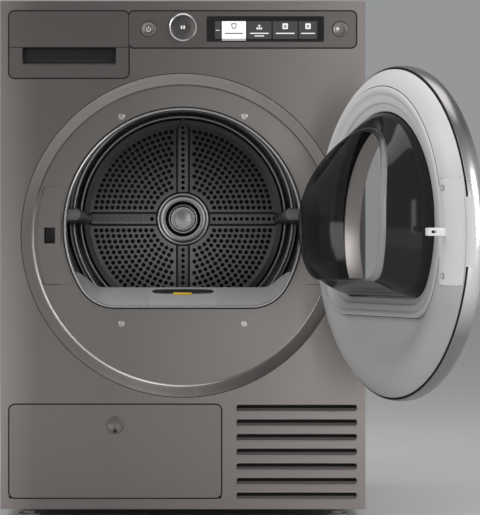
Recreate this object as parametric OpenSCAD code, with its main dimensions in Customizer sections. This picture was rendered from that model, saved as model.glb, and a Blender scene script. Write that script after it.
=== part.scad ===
// Heat-pump tumble dryer, free standing, with a round porthole door that is drawn open.
// Millimetres. X runs across the front, Y from the front sheet to the back, Z up from the floor.

/* [Cabinet] */
// Overall width
cab_w = 595; // [560:1:720]
// Overall height, with the feet screwed in
cab_h = 850; // [820:1:1030]
// Depth from the front sheet to the back sheet
cab_d = 610; // [590:1:740]
// Height of the cabinet's lower edge above the floor
skirt_z = 21.5; // [18:0.5:26]
// Thickness of the steel sheets
sheet = 1.5; // [1:0.1:2]
// Thickness of the worktop
top_t = 18; // [14:1:30]
// Radius of a foot's pad
foot_r = 16.5; // [14:0.5:20]
// Distance of a foot from the side and from the front or back
foot_inset = 42.5; // [40:0.5:60]

/* [Door surround] */
// Height of the door's centre
door_z = 468; // [460:1:480]
// Outer radius of the sunk ring around the door
surround_r = 264.2; // [262:0.1:270]
// Width of the sloped band of the ring
surround_band = 17; // [14:0.5:20]
// Depth of the sunk floor behind the front sheet
surround_depth = 26; // [24:0.5:30]
// Radius of the loading opening
mouth_r = 195.6; // [185:0.1:200]
// Height of the loading opening's centre
mouth_z = 481.5; // [478:0.5:486]
// Height of the opening's flat lower edge
mouth_flat_z = 350; // [345:1:356]
// Radius of the opening's lower corners
mouth_corner = 65; // [55:1:72]

/* [Door] */
// Radius of the door
door_r = 252.5; // [250:0.5:254]
// Depth of the door from its inner face to its front
door_t = 36; // [32:1:40]
// Angle at which the door stands open
door_open = 110.9; // [0:0.1:160]
// Radius of the window
window_r = 172; // [160:1:176]
// How far the glass bowl reaches into the machine
bowl_depth = 84; // [70:1:88]
// Radius of the hinge pin
hinge_pin_r = 4; // [3:0.5:5]

/* [Drum] */
// Height of the drum's axis
drum_z = 504; // [502:1:508]
// Outer radius of the drum
drum_r = 285; // [270:1:288]
// Depth of the drum
drum_len = 453; // [420:1:453]
// Thickness of the drum's sheet
drum_wall = 1.2; // [0.8:0.1:2]
// Height of the two lifters
lifter_h = 110; // [60:1:116]
// Radius of the drum's rear shaft
shaft_r = 12; // [10:0.5:14]
// Radius of the support rollers
roller_r = 20; // [16:0.5:22]
// Angle of each roller from the lowest point of the drum
roller_angle = 35; // [28:1:40]

/* [Controls] */
// Radius of the dial
dial_r = 23; // [20:0.5:24]
// How far the dial stands out
dial_h = 13; // [8:0.5:16]
// Radius of the two push buttons
button_r = 12.6; // [10:0.1:14]
// Travel of a push button
button_travel = 1.6; // [1:0.1:2]

/* [Water tank] */
// Width of the tank drawer's front
drawer_w = 194; // [180:1:198]
// Height of the tank drawer's front
drawer_h = 108; // [100:1:112]
// Length of the tank
tank_len = 440; // [380:1:450]
// Wall of the tank
tank_wall = 2.5; // [2:0.1:4]

/* [Service flap] */
// Width of the flap
flap_w = 345; // [320:1:350]
// Height of the flap
flap_h = 151.3; // [140:0.1:153]
// Thickness of the flap
flap_t = 14; // [10:1:18]

/* [Drive] */
// Radius of the motor's pulley
pulley_r = 10; // [8:0.5:12]
// Width of the belt
belt_w = 12; // [8:0.5:14]
// Thickness of the belt
belt_t = 2; // [1.5:0.1:3]
// Radius of the motor
motor_r = 56; // [46:1:58]
// Radius of the fan wheel
fan_r = 60; // [50:1:64]

/* [Hidden] */
$fn = 96;

gap = 1;
run_gap = 0.05;
side_gap = 0.4;
half_w = cab_w / 2;
inner_w = half_w - sheet;
deck_z = cab_h - top_t;
floor_z = 24;
floor_t = 8;
band_z = cab_h - 17;
split_z = cab_h - 75.6;
drawer_x = -half_w + 14.5;
drawer_z = band_z - drawer_h;
drawer_back = 25.5;
fascia_x = drawer_x + drawer_w + gap;
fascia_x2 = half_w - 15.5;
fascia_h = band_z - split_z;
flap_x = -half_w + 14.5;
flap_z = 40.4;
flap_pivot_y = 4;
flap_pivot_z = flap_z + 6.6;
flap_pin_r = 1.5;
flap_ear = 5;
grille_x = half_w - 210.5;
grille_w = 197;
slot_h = 11.5;
slot_pitch = 23.85;
slot_top = 192.3;
slots = 7;
surround_r2 = surround_r - surround_band;
mouth_drop = mouth_z - mouth_flat_z;
collar_y = surround_depth - 4;
bulk_y = 58;
bulk_t = 2;
drum_y = bulk_y + bulk_t + 6;
back_y = drum_y + drum_len;
rear_y = back_y + 7;
seal_t = 5.6;
hinge_x = 247;
hinge_y = -27;
hinge_half = 37;
lug_t = 15;
door_back = 2;
door_front = door_back - door_t;
cover_t = 3;
dome_h = 18.5;
hook_base = 12;
hook_w = 7;
lug_gap = 1;
latch_x = -219;
latch_w = 17.6;
latch_h = 26;
roller_d = drum_r + 0.3 + roller_r;
roller_y = drum_y + 5;
roller_w = 16;
roller_pin = 5;
motor_x = 120;
motor_z = 118;
motor_y = 330;
motor_len = 140;
belt_y = 301;
fan_y = 504;
fan_len = 36;
duct_y = rear_y + bulk_t;
duct_back = cab_d - sheet - 9;
run_dx = -motor_x;
run_dz = drum_z - motor_z;
run_len = sqrt(run_dx * run_dx + run_dz * run_dz);
run_dir = atan2(run_dz, run_dx);
belt_r = drum_r + 0.3;
run_off = acos((pulley_r - belt_r) / run_len);
run_right = run_dir - run_off;
run_left = run_dir + run_off;
idler_r = 14;
idler_pin = 4;
idler_t = belt_t + 0.3 + idler_r;
pivot_x = 232;
pivot_z = 150;

function on_run(a, x, z, r) = [x + r * cos(a), z + r * sin(a)];
run_mid = (on_run(run_right, motor_x, motor_z, pulley_r) + on_run(run_right, 0, drum_z, belt_r)) / 2;
idler_x = run_mid[0] + idler_t * cos(run_right);
idler_z = run_mid[1] + idler_t * sin(run_right);

// A drawing in X and Z as a plate that starts at depth y.
module face(y, t) { translate([0, y + t, 0]) rotate([90, 0, 0]) linear_extrude(t) children(); }

// A profile of radius and depth turned about an axis along Y.
module turned(x, z) { translate([x, 0, z]) rotate([-90, 0, 0]) rotate_extrude() children(); }

// A round bar along Y.
module bar_y(x, z, y, len, r) { translate([x, y, z]) rotate([-90, 0, 0]) cylinder(h = len, r = r); }

// A rectangle from its lower left corner, with round corners.
module tile(x, z, w, h, r) {
    translate([x + r, z]) square([w - 2 * r, h]);
    translate([x, z + r]) square([w, h - 2 * r]);
    for (cx = [x + r, x + w - r], cz = [z + r, z + h - r]) translate([cx, cz]) circle(r);
}

// A circle with a flat lower edge and round lower corners.
module flat_circle(r, drop, corner) {
    cz = corner - drop;
    cx = sqrt((r - corner) * (r - corner) - cz * cz);
    far = 3 * r;
    k = far / (r - corner);
    intersection() {
        circle(r);
        polygon([[0, 0], [k * cx, k * cz], [far, far], [-far, far], [-k * cx, k * cz]]);
    }
    translate([-cx, -drop]) square([2 * cx, drop]);
    for (s = [-1, 1]) translate([s * cx, cz]) circle(corner);
}

// The loading opening, made smaller by a margin.
module mouth(margin) {
    translate([0, mouth_z]) flat_circle(mouth_r - margin, mouth_drop - margin, mouth_corner - margin);
}

// The curved cover plate beside the opening: side is -1 for the left and 1 for the right.
module side_plate(side) {
    intersection() {
        difference() {
            translate([0, door_z]) circle(surround_r2 - 7);
            translate([0, mouth_z]) circle(mouth_r + 6);
        }
        tile(side < 0 ? -surround_r2 : 180, door_z - 80, surround_r2 - 180, 161, 6);
    }
}

module latch_hole() { translate([latch_x - latch_w / 2, door_z - latch_h / 2]) square([latch_w, latch_h]); }

// Puts what is drawn for the shut door where the open door stands.
module on_door() {
    translate([hinge_x, hinge_y, 0]) rotate([0, 0, door_open]) translate([-hinge_x, -hinge_y, 0]) children();
}

// The room that the hinge's lugs need in the door's edge.
module hinge_notch() {
    translate([222, door_front - 6, door_z - hinge_half - 6])
        cube([60, door_t + 12, 2 * hinge_half + 12]);
    translate([204, door_back + 1, door_z - hinge_half - 6]) cube([60, dome_h + 9, 2 * hinge_half + 12]);
}
module door_dome() {
    r = door_r - 5;
    b = door_back;
    turned(0, door_z) polygon([[0, b - 3], [r - 3, b - 3], [r - 3, b - 14], [r, b - 14], [r, b - 1.5],
        [r - 4, b + dome_h - 13.5], [r - 10, b + dome_h - 8.5], [r - 20, b + dome_h - 4],
        [r - 32, b + dome_h - 1], [r - 40, b + dome_h], [0, b + dome_h]]);
}

module front_panel() {
    color("#6f6a67") face(0, sheet) difference() {
        tile(-half_w, skirt_z, cab_w, cab_h - skirt_z, 3);
        translate([0, door_z]) circle(surround_r);
        tile(drawer_x - gap, drawer_z - gap, drawer_w + 2 * gap, drawer_h + 2 * gap, 9);
        tile(fascia_x - gap, split_z - gap, fascia_x2 - fascia_x + 2 * gap, fascia_h + 2 * gap, 9);
        tile(flap_x - gap, flap_z - 1.6, flap_w + 2 * gap, flap_h + 1.6 + gap, 10);
        tile(flap_x - gap, flap_z - 1.6, flap_w + 2 * gap, 30, 3);
        for (i = [0 : slots - 1])
            tile(grille_x, slot_top - slot_h - i * slot_pitch, grille_w, slot_h, 4);
    }
    color("#6f6a67") for (x = [flap_x - gap - flap_ear, flap_x + flap_w + gap]) difference() {
        translate([x, sheet, flap_pivot_z - 5]) cube([flap_ear, 7, 10]);
        translate([x - 1, flap_pivot_y, flap_pivot_z]) rotate([0, 90, 0])
            cylinder(h = flap_ear + 2, r = flap_pin_r + run_gap);
    }
}

module door_surround() {
    color("#6f6a67") difference() {
        turned(0, door_z) polygon([[surround_r, 0], [surround_r2, surround_depth], [0, surround_depth],
            [0, surround_depth + sheet], [surround_r2 + 1, surround_depth + sheet],
            [surround_r + 1, 2 * sheet], [surround_r + 8, 2 * sheet], [surround_r + 8, sheet],
            [surround_r, sheet]]);
        face(surround_depth - 1, sheet + 2) mouth(0);
        face(surround_depth - 1, sheet + 2) latch_hole();
    }
}

module side_panel(side) {
    x = side < 0 ? -half_w : half_w - sheet;
    translate([x, sheet, skirt_z]) cube([sheet, cab_d - 2 * sheet, deck_z - skirt_z]);
}
module side_left() { color("#5d5957") side_panel(-1); }
module side_right() { color("#5d5957") side_panel(1); }

module worktop() {
    lip_y = drawer_back + 4;
    color("#645f5c") {
        translate([-half_w, lip_y, deck_z]) cube([cab_w, cab_d - lip_y, top_t]);
        translate([-half_w, sheet, band_z + 2]) cube([cab_w, lip_y, cab_h - band_z - 2]);
    }
}

module rear_panel() {
    color("#8d8f90") face(cab_d - sheet, sheet) difference() {
        translate([-half_w, skirt_z]) square([cab_w, deck_z - skirt_z]);
        for (i = [0 : 7]) tile(half_w - 130, 80 + 14 * i, 90, 5, 2.4);
    }
}

module base_tray() {
    wall = 4;
    color("#2b2b2c") difference() {
        union() {
            translate([-inner_w, bulk_y - 40, floor_z]) cube([2 * inner_w, cab_d - bulk_y + 36, floor_t]);
            translate([-inner_w, bulk_y, floor_z]) cube([wall, cab_d - bulk_y - 60, 60]);
            translate([inner_w - wall, bulk_y, floor_z]) cube([wall, cab_d - bulk_y - 60, 60]);
            translate([40, bulk_y, floor_z]) cube([wall, 226, 150]);
            translate([-inner_w, bulk_y, floor_z]) cube([inner_w + 40, 2 * wall, 20]);
            for (x = [-1, 1], y = [foot_inset + 16, cab_d - foot_inset - 14])
                translate([x * (half_w - foot_inset), y, floor_z]) cylinder(h = 30, r = 11);
        }
        for (x = [-1, 1], y = [foot_inset + 16, cab_d - foot_inset - 14])
            translate([x * (half_w - foot_inset), y, floor_z - 1]) cylinder(h = 40, r = 5 + run_gap);
    }
}

module vent_grille() {
    depth = 12;
    color("#4a4745") face(sheet, depth) difference() {
        tile(grille_x - 6, slot_top - slots * slot_pitch + 4, grille_w + 12, slots * slot_pitch + 4, 5);
        for (i = [0 : slots - 1])
            tile(grille_x, slot_top - slot_h - i * slot_pitch, grille_w, slot_h, 4);
    }
}

module control_fascia() {
    x = fascia_x;
    w = fascia_x2 - fascia_x;
    color("#6b6663") difference() {
        face(-0.5, 6) tile(x, split_z, w, fascia_h, 8);
        for (bx = [power_x, start_x]) bar_y(bx, knob_z - 1.5, -1, 8, button_r + side_gap);
        bar_y(0, knob_z, -1, 8, 8);
        face(-1, 2.5) tile(display_x, display_z, display_w, display_h, 3);
    }
}
power_x = -56.2;
start_x = fascia_x2 - 26;
knob_z = cab_h - 44;
display_x = 38.3;
display_w = 191.9;
display_h = 42.1;
display_z = cab_h - 66.6;

module display_glass() {
    inset = 0.3;
    color("#101010") face(-0.8, 2.3)
        tile(display_x + inset, display_z + inset, display_w - 2 * inset, display_h - 2 * inset, 3);
}

module dial() {
    spigot = 7.9;
    color("#b9b7b4") turned(0, knob_z) polygon([[0, -dial_h + 1], [dial_r - 4.5, -dial_h + 1],
        [dial_r - 3, -dial_h], [dial_r - 1, -dial_h], [dial_r, -dial_h + 1.5], [dial_r, -1],
        [spigot, -1], [spigot, 8], [0, 8]]);
}

module push_button(x) {
    proud = 2.2;
    turned(x, knob_z - 1.5) polygon([[0, -proud], [button_r - 1, -proud], [button_r, -proud + 1],
        [button_r, 4], [0, 4]]);
}
module power_button() { color("#77726f") push_button(power_x); }
module start_button() { color("#77726f") push_button(start_x); }

module drawer_front() {
    grip_x = drawer_x + 21;
    grip_w = drawer_w - 41;
    grip_z = split_z - 28.8;
    color("#6b6663") difference() {
        face(-0.5, drawer_back + 0.5) tile(drawer_x, drawer_z, drawer_w, drawer_h, 8);
        face(1.5, 30) tile(drawer_x + 2, drawer_z + 2, drawer_w - 4, grip_z - drawer_z - 4, 3);
        face(-1, 22.5) translate([grip_x, grip_z]) square([grip_w, split_z - grip_z + 12]);
        face(1.5, 30) translate([drawer_x + 2, split_z + 14]) square([drawer_w - 4, fascia_h - 16]);
    }
    color("#6b6663") face(-0.5, 2) translate([grip_x, split_z]) square([grip_w, 13]);
}

// Cross section of the tank: its underside steps down away from the drum.
module tank_section(grow) {
    x = drawer_x + 11;
    w = drawer_w - 27;
    top = deck_z - 8;
    offset_z = cab_h - 850;
    polygon([[x - grow, 739 + offset_z - grow], [x + 62 + grow, 739 + offset_z - grow],
        [x + 112 + grow, 766 + offset_z - grow], [x + w + grow, 788 + offset_z - grow],
        [x + w + grow, top + grow], [x - grow, top + grow]]);
}

module water_tank() {
    color("#d9dcdc") difference() {
        face(drawer_back, tank_len) tank_section(0);
        face(drawer_back + tank_wall, tank_len - 2 * tank_wall) tank_section(-tank_wall);
        translate([drawer_x + 60, tank_len - 60, deck_z - 30]) cube([40, 40, 40]);
    }
}

module tank_chute() {
    wall = 2;
    color("#3a3a3b") difference() {
        face(drawer_back + gap, tank_len + 8) tank_section(gap + wall);
        face(drawer_back, tank_len + 8) tank_section(gap);
    }
}

module latch_plate() {
    color("#6b6663") face(surround_depth - 1.2, 1.2) difference() {
        side_plate(-1);
        latch_hole();
    }
}

module hinge_bracket() {
    color("#6b6663") difference() {
        face(surround_depth - 1.2, 1.2) side_plate(1);
    }
    color("silver") {
        for (s = [-1, 1]) {
            z = door_z + (s < 0 ? -hinge_half : hinge_half - lug_t);
            translate([0, 0, z]) linear_extrude(lug_t) {
                polygon([[214, surround_depth - 1.2], [236, surround_depth - 1.2],
                    [hinge_x + 6.5, hinge_y + 5], [hinge_x - 6.5, hinge_y - 5]]);
                translate([hinge_x, hinge_y]) circle(8);
            }
        }
        translate([hinge_x, hinge_y, door_z - hinge_half]) cylinder(h = 2 * hinge_half, r = hinge_pin_r);
    }
}

module opening_collar() {
    color("#57585a") difference() {
        face(collar_y, bulk_y - collar_y) difference() {
            mouth(0);
            mouth(2.4);
        }
        filter_slot();
    }
}

// The ramp below the loading opening, with the slot that the lint filter stands in.
module filter_sill() {
    rise = (bulk_y + 4 - collar_y) * tan(sill_slope);
    z = mouth_flat_z + 4;
    color("#8f8f8e") difference() {
        intersection() {
            face(collar_y, bulk_y + 4 - collar_y) mouth(2.4);
            translate([-mouth_r, 0, 0]) rotate([90, 0, 90]) linear_extrude(2 * mouth_r)
                polygon([[collar_y, z - 6], [collar_y, z], [bulk_y + 4, z + rise], [bulk_y + 4, z - 6]]);
        }
        filter_slot();
    }
}

module filter_slot() {
    translate([-filter_w / 2 - gap, filter_y - gap, mouth_flat_z - 20])
        cube([filter_w + 2 * gap, filter_t + 2 * gap, 120]);
}
sill_slope = 38;
filter_w = 100;
filter_t = 9;
filter_y = 43;
filter_z = 226;
filter_top = mouth_flat_z + 4 + (filter_y - collar_y) * tan(sill_slope);

module filter_duct() {
    wall = 2;
    w = filter_w + 20;
    color("#3a3a3b") difference() {
        translate([-w / 2, surround_depth + sheet + 2, filter_z - 10])
            cube([w, bulk_y - surround_depth - sheet - 2, mouth_flat_z - filter_z + 10]);
        translate([-w / 2 + wall, surround_depth + sheet + 2 + wall, filter_z - 20])
            cube([w - 2 * wall, bulk_y - surround_depth - sheet - 2 - 2 * wall, 200]);
    }
}

module lint_filter() {
    wall = 3;
    h = filter_top - filter_z;
    color("#3c3d3e") difference() {
        translate([-filter_w / 2, filter_y, filter_z]) cube([filter_w, filter_t, h]);
        translate([-filter_w / 2 + wall, filter_y + wall, filter_z + wall])
            cube([filter_w - 2 * wall, filter_t, h - 8]);
        for (x = [0 : 6], z = [0 : 6])
            translate([-filter_w / 2 + 8 + 12.4 * x, filter_y - 1, filter_z + 8 + 16 * z]) cube([9, 6, 11]);
    }
    color("gold") translate([-16, filter_y, filter_top]) cube([32, 4, 5]);
}

module front_bulkhead() {
    pin_len = roller_y + roller_w + 1 - bulk_y - bulk_t;
    color("#a5a7a8") {
        face(bulk_y, bulk_t) difference() {
            translate([-inner_w, floor_z + 180]) square([2 * inner_w, deck_z - floor_z - 180]);
            mouth(2.4);
            tank_room();
        }
        for (s = [-1, 1])
            bar_y(s * roller_d * sin(roller_angle), drum_z - roller_d * cos(roller_angle),
                bulk_y + bulk_t, pin_len, roller_pin);
    }
}
module tank_room() { tank_section(gap + 2); }

module felt_seals() {
    color("#d8d4c8") {
        turned(0, drum_z) translate([drum_r - 19, bulk_y + bulk_t]) square([15, seal_t]);
        turned(0, drum_z) translate([drum_r - 19, rear_y - seal_t]) square([15, seal_t]);
    }
}

module rear_bulkhead() {
    hole_r = 178;
    house_r = 26;
    house_len = 30;
    color("#a5a7a8") {
        difference() {
            union() {
                face(rear_y, bulk_t) difference() {
                    translate([-inner_w, floor_z + 180]) square([2 * inner_w, deck_z - floor_z - 180]);
                    translate([0, drum_z]) circle(hole_r);
                }
                face(rear_y, 5) for (a = [0, 90]) translate([0, drum_z]) rotate(a)
                    translate([-hole_r - 12, -18]) square([2 * hole_r + 24, 36]);
                bar_y(0, drum_z, rear_y, house_len, house_r);
            }
            bar_y(0, drum_z, rear_y - 1, house_len + 2, shaft_r + run_gap);
        }
    }
}

module rear_duct() {
    wall = 2;
    r = 214;
    color("#4b4c4e") difference() {
        union() {
            bar_y(0, drum_z, duct_y, duct_back - duct_y, r);
            translate([60, fan_y + fan_len + 12, motor_z - 50])
                cube([120, duct_back - fan_y - fan_len - 12, drum_z - motor_z - 100]);
        }
        bar_y(0, drum_z, duct_y - 1, duct_back - duct_y + 1 - wall, r - wall);
        translate([60 + wall, fan_y + fan_len + 11, motor_z - 50 + wall])
            cube([120 - 2 * wall, duct_back - fan_y - fan_len - 11 - wall, drum_z - motor_z - 100]);
    }
}

module motor() {
    color("#3f4245") difference() {
        turned(motor_x, motor_z) polygon([[0, motor_y], [20, motor_y], [motor_r - 6, motor_y + 4],
            [motor_r, motor_y + 12], [motor_r, motor_y + motor_len - 12],
            [motor_r - 6, motor_y + motor_len - 4], [20, motor_y + motor_len], [0, motor_y + motor_len]]);
        bar_y(motor_x, motor_z, motor_y - 1, motor_len + 2, 6 + run_gap);
    }
}

module motor_bracket() {
    z0 = floor_z + floor_t;
    post = 10;
    color("#77797b") {
        for (y = [motor_y + 30, motor_y + motor_len - 50]) face(y, 20) difference() {
            translate([motor_x - 60, z0]) square([120, motor_z - z0 - 18]);
            translate([motor_x, motor_z]) circle(motor_r);
        }
        face(motor_y, 20) translate([pivot_x - post, z0]) square([2 * post, pivot_z - z0 + post]);
        translate([motor_x - 60, motor_y, z0]) cube([pivot_x - motor_x + 60 + post, motor_len - 30, 4]);
        bar_y(pivot_x, pivot_z, belt_y + belt_w + 4, motor_y - belt_y - belt_w - 4, 5);
    }
}

// Points round a pulley that the belt wraps from one angle through another, flats outside the radius.
function wrap(x, z, r, from, through, n) =
    [for (i = [0 : n]) on_run(from + through * i / n, x, z, r / cos(through / n / 2))];

module belt_loop(grow) {
    polygon(concat(wrap(0, drum_z, belt_r + grow, run_right, 2 * run_off, 90),
        wrap(motor_x, motor_z, pulley_r + grow, run_left, 360 - 2 * run_off, 16)));
}

module drive_belt() {
    color("#1d1d1e") face(belt_y, belt_w) difference() {
        belt_loop(belt_t);
        belt_loop(0);
    }
}

module fan_housing() {
    wall = 2;
    r = fan_r + 12;
    color("#4b4c4e") difference() {
        union() {
            bar_y(motor_x, motor_z, fan_y - 10, fan_len + 22, r);
            translate([motor_x - 50, fan_y - 10, floor_z + floor_t]) cube([100, fan_len + 22, 30]);
        }
        bar_y(motor_x, motor_z, fan_y - 8, fan_len + 18, r - wall);
        bar_y(motor_x, motor_z, fan_y - 20, 20, 40);
        bar_y(motor_x, motor_z, fan_y + 5, fan_len + 30, 40);
    }
}

module motor_shaft() {
    color("#9b9ea0") {
        bar_y(motor_x, motor_z, belt_y - 5, fan_y + 18 - belt_y + 5, 6);
        turned(motor_x, motor_z) polygon([[5, belt_y - 4], [pulley_r + 3, belt_y - 4],
            [pulley_r + 3, belt_y - 1.5], [pulley_r - 0.3, belt_y - 1], [pulley_r - 0.3, belt_y + belt_w + 1],
            [pulley_r + 3, belt_y + belt_w + 1.5], [pulley_r + 3, belt_y + belt_w + 4],
            [5, belt_y + belt_w + 4]]);
    }
}

module fan_wheel() {
    blades = 24;
    color("#2b2b2c") difference() {
        union() {
            bar_y(motor_x, motor_z, fan_y, 3, fan_r);
            bar_y(motor_x, motor_z, fan_y, 18, 12);
            for (i = [0 : blades - 1])
                translate([motor_x, 0, motor_z]) rotate([0, i * 360 / blades, 0])
                    translate([fan_r - 16, fan_y + 2, -1]) cube([13, fan_len - 4, 2]);
            turned(motor_x, motor_z) translate([fan_r - 4, fan_y + fan_len - 5]) square([4, 3]);
        }
        bar_y(motor_x, motor_z, fan_y - 1, 20, 6);
    }
}

module tensioner_arm() {
    dx = idler_x - pivot_x;
    dz = idler_z - pivot_z;
    reach = sqrt(dx * dx + dz * dz);
    y = belt_y + belt_w + 4;
    color("#8b8d8f") {
        difference() {
            translate([pivot_x, y, pivot_z]) rotate([0, atan2(dx, dz), 0]) {
                translate([-9, 0, 0]) cube([18, 4, reach]);
                rotate([-90, 0, 0]) cylinder(h = 4, r = 12);
                translate([0, 0, reach]) rotate([-90, 0, 0]) cylinder(h = 4, r = 9);
            }
            bar_y(pivot_x, pivot_z, y - 1, 6, 5 + run_gap);
        }
        bar_y(idler_x, idler_z, belt_y - 1, y - belt_y + 1, idler_pin);
    }
}

module tensioner_pulley() {
    color("#2b2b2c") difference() {
        bar_y(idler_x, idler_z, belt_y, belt_w, idler_r);
        bar_y(idler_x, idler_z, belt_y - 1, belt_w + 2, idler_pin + run_gap);
    }
}

module drum_shell() {
    r = drum_r;
    t = drum_wall;
    color("#b4b6b7") turned(0, drum_z) polygon([[r - 24, drum_y], [r, drum_y], [r, back_y], [r - t, back_y],
        [r - t, drum_y + t], [r - 24, drum_y + t]]);
}

// The drum's back: a disc with four raised arms and a raised bead.
module drum_back() {
    rise = 4;
    arm_w = 18;
    bead_r = 192;
    color("#8f9192") {
        difference() {
            bar_y(0, drum_z, back_y - drum_wall, drum_wall, drum_r - drum_wall);
            bar_y(0, drum_z, back_y - 10, 20, shaft_r);
        }
        face(back_y - drum_wall - rise, rise) difference() {
            translate([0, drum_z]) for (a = [0 : 90 : 270]) rotate(a)
                translate([52, -arm_w / 2]) square([bead_r - 72, arm_w]);
            translate([0, drum_z]) circle(52);
        }
        turned(0, drum_z) translate([bead_r - 2, back_y - drum_wall - 3]) square([4, 3]);
    }
}

module drum_hub() {
    y = back_y - drum_wall;
    color("#c9cacb") turned(0, drum_z) polygon([[0, y - 12], [24, y - 14], [27, y - 11], [27.5, y - 6],
        [32, y - 3], [46, y - 4.5], [50, y - 2], [50, y], [shaft_r, y], [shaft_r, rear_y + 28],
        [0, rear_y + 28]]);
}

module lifter_section(grow) {
    polygon([[drum_r - lifter_h - grow, -6 - grow], [drum_r - 60, -11 - grow], [drum_r + 5, -15 - grow],
        [drum_r + 5, 15 + grow], [drum_r - 60, 11 + grow], [drum_r - lifter_h - grow, 6 + grow]]);
}

module drum_lifters() {
    start = drum_y + 30;
    len = drum_len - 60;
    wall = 3;
    color("#6d6e70") for (s = [0, 180]) intersection() {
        bar_y(0, drum_z, start, len, drum_r - drum_wall);
        difference() {
            face(start, len) translate([0, drum_z]) rotate(s) {
                lifter_section(0);
                translate([drum_r - lifter_h, 0]) circle(6);
            }
            face(start + wall, len - 2 * wall) translate([0, drum_z]) rotate(s) lifter_section(-wall);
        }
    }
}

module roller(side) {
    x = side * roller_d * sin(roller_angle);
    z = drum_z - roller_d * cos(roller_angle);
    difference() {
        bar_y(x, z, roller_y, roller_w, roller_r);
        bar_y(x, z, roller_y - 1, roller_w + 2, roller_pin + run_gap);
    }
}
module roller_left() { color("#d9d9d6") roller(-1); }
module roller_right() { color("#d9d9d6") roller(1); }

module compressor() {
    r = 60;
    x = 200;
    y = 172;
    z0 = floor_z + floor_t;
    color("#1d1e20") {
        translate([x, y, z0 + 14]) rotate_extrude() polygon([[0, 0], [r - 8, 0], [r, 8], [r, 120], [r - 10, 138],
            [r - 34, 150], [0, 153]]);
        for (a = [30 : 120 : 270]) translate([x, y, z0]) rotate(a)
            translate([r + 4, 0, 0]) cylinder(h = 15, r = 9);
        translate([x, y, z0 + 14]) linear_extrude(3) for (a = [30 : 120 : 270]) rotate(a)
            translate([0, -11]) square([r + 13, 22]);
        for (s = [-1, 1]) translate([x, y + 22 * s, z0 + 150]) cylinder(h = pipe_z - z0 - 150, r = 7);
    }
}
pipe_z = 198;
coil_x = flap_x + 22;
coil_w = 286;
coil_h = 150;

// A block of fins on tubes, from y0 over a length.
module coil(y0, len, pitch) {
    z0 = floor_z + floor_t;
    for (x = [0 : pitch : coil_w]) translate([coil_x + x, y0, z0]) cube([1.2, len, coil_h]);
    for (y = [0.25, 0.75], z = [0.2 : 0.3 : 0.8])
        translate([coil_x - 6, y0 + len * y, z0 + coil_h * z]) rotate([0, 90, 0])
            cylinder(h = coil_w + 14, r = 4.5);
}
module evaporator() { color("#b5b8ba") coil(evaporator_y, 80, 11); }
module condenser() { color("#c2a079") coil(condenser_y, 100, 13); }
evaporator_y = bulk_y + 24;
condenser_y = bulk_y + 120;

// Two pipes from the top of the compressor to the upper tubes of the two coils.
module refrigerant_pipes() {
    r = 4;
    x1 = 200;
    x2 = coil_x + coil_w + 5.5;
    z1 = pipe_z + 6;
    z2 = floor_z + floor_t + coil_h * 0.8 + 4.5;
    color("#b56f42") for (run = [[150, evaporator_y + 20], [194, condenser_y + 25]]) {
        y0 = run[0];
        y = run[1];
        translate([x1, y0, pipe_z]) cylinder(h = z1 - pipe_z, r = r);
        translate([x1, y0, z1]) sphere(r);
        translate([x1, y0, z1]) rotate([y > y0 ? -90 : 90, 0, 0]) cylinder(h = abs(y - y0), r = r);
        translate([x1, y, z1]) sphere(r);
        translate([x2, y, z1]) rotate([0, 90, 0]) cylinder(h = x1 - x2, r = r);
        translate([x2, y, z1]) sphere(r);
        translate([x2, y, z2]) cylinder(h = z1 - z2, r = r);
    }
}

module exchanger_cover() {
    x = flap_x + 44;
    w = flap_w - 58;
    y = bulk_y - 20;
    z = floor_z + floor_t;
    color("#4b4c4e") {
        face(y, 5) tile(x, z, w, 150, 8);
        for (lx = [x + 20, x + w - 34]) face(y - 8, 8) tile(lx, z + 50, 14, 50, 6);
        translate([x, y, z]) cube([w, 20, 4]);
    }
}

module mains_inlet() {
    color("#1d1d1e") difference() {
        face(cab_d, 8) tile(-half_w + 60, cab_h - 90, 44, 30, 5);
        face(cab_d + 2, 8) tile(-half_w + 68, cab_h - 84, 28, 18, 3);
    }
}

module foot(x, y) {
    translate([x * (half_w - foot_inset), y, 0]) {
        cylinder(h = 9, r = foot_r);
        cylinder(h = 14, r = 10);
        cylinder(h = 48, r = 5);
    }
}
foot_y1 = foot_inset + 16;
foot_y2 = cab_d - foot_inset - 14;
module foot_front_left() { color("#b9b9b6") foot(-1, foot_y1); }
module foot_front_right() { color("#b9b9b6") foot(1, foot_y1); }
module foot_rear_left() { color("#b9b9b6") foot(-1, foot_y2); }
module foot_rear_right() { color("#b9b9b6") foot(1, foot_y2); }

module door_ring() {
    r = door_r;
    b = door_back;
    f = door_front;
    color("silver") on_door() difference() {
        turned(0, door_z) polygon([[r - 5, b], [r, b], [r, b - 10.3], [r - 2, b - 20], [r - 7, f + 7],
            [r - 15, f], [r - 22, f], [r - 22, f + cover_t], [r - 12, f + cover_t + 2], [r - 5, b - 16]]);
        hinge_notch();
    }
}

module door_cover() {
    r = door_r - 22;
    f = door_front;
    color("#6f6a67") on_door() turned(0, door_z)
        polygon([[window_r, f], [r, f], [r, f + cover_t], [window_r, f + cover_t]]);
}

module door_window() {
    color("#1c1f22") on_door() bar_y(0, door_z, door_front + cover_t, 4, window_r + 10);
}

bowl_r = 169;
bowl_drop = 109;
bowl_corner = 50;
end_r = 146;
end_drop = 84;

// One outline of the glass bowl at a depth, as a thin slice.
module bowl_slice(depth, r, drop) {
    face(door_back + depth - 0.4, 0.4) translate([0, mouth_z]) flat_circle(r, drop, bowl_corner, $fn = 64);
}

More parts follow.
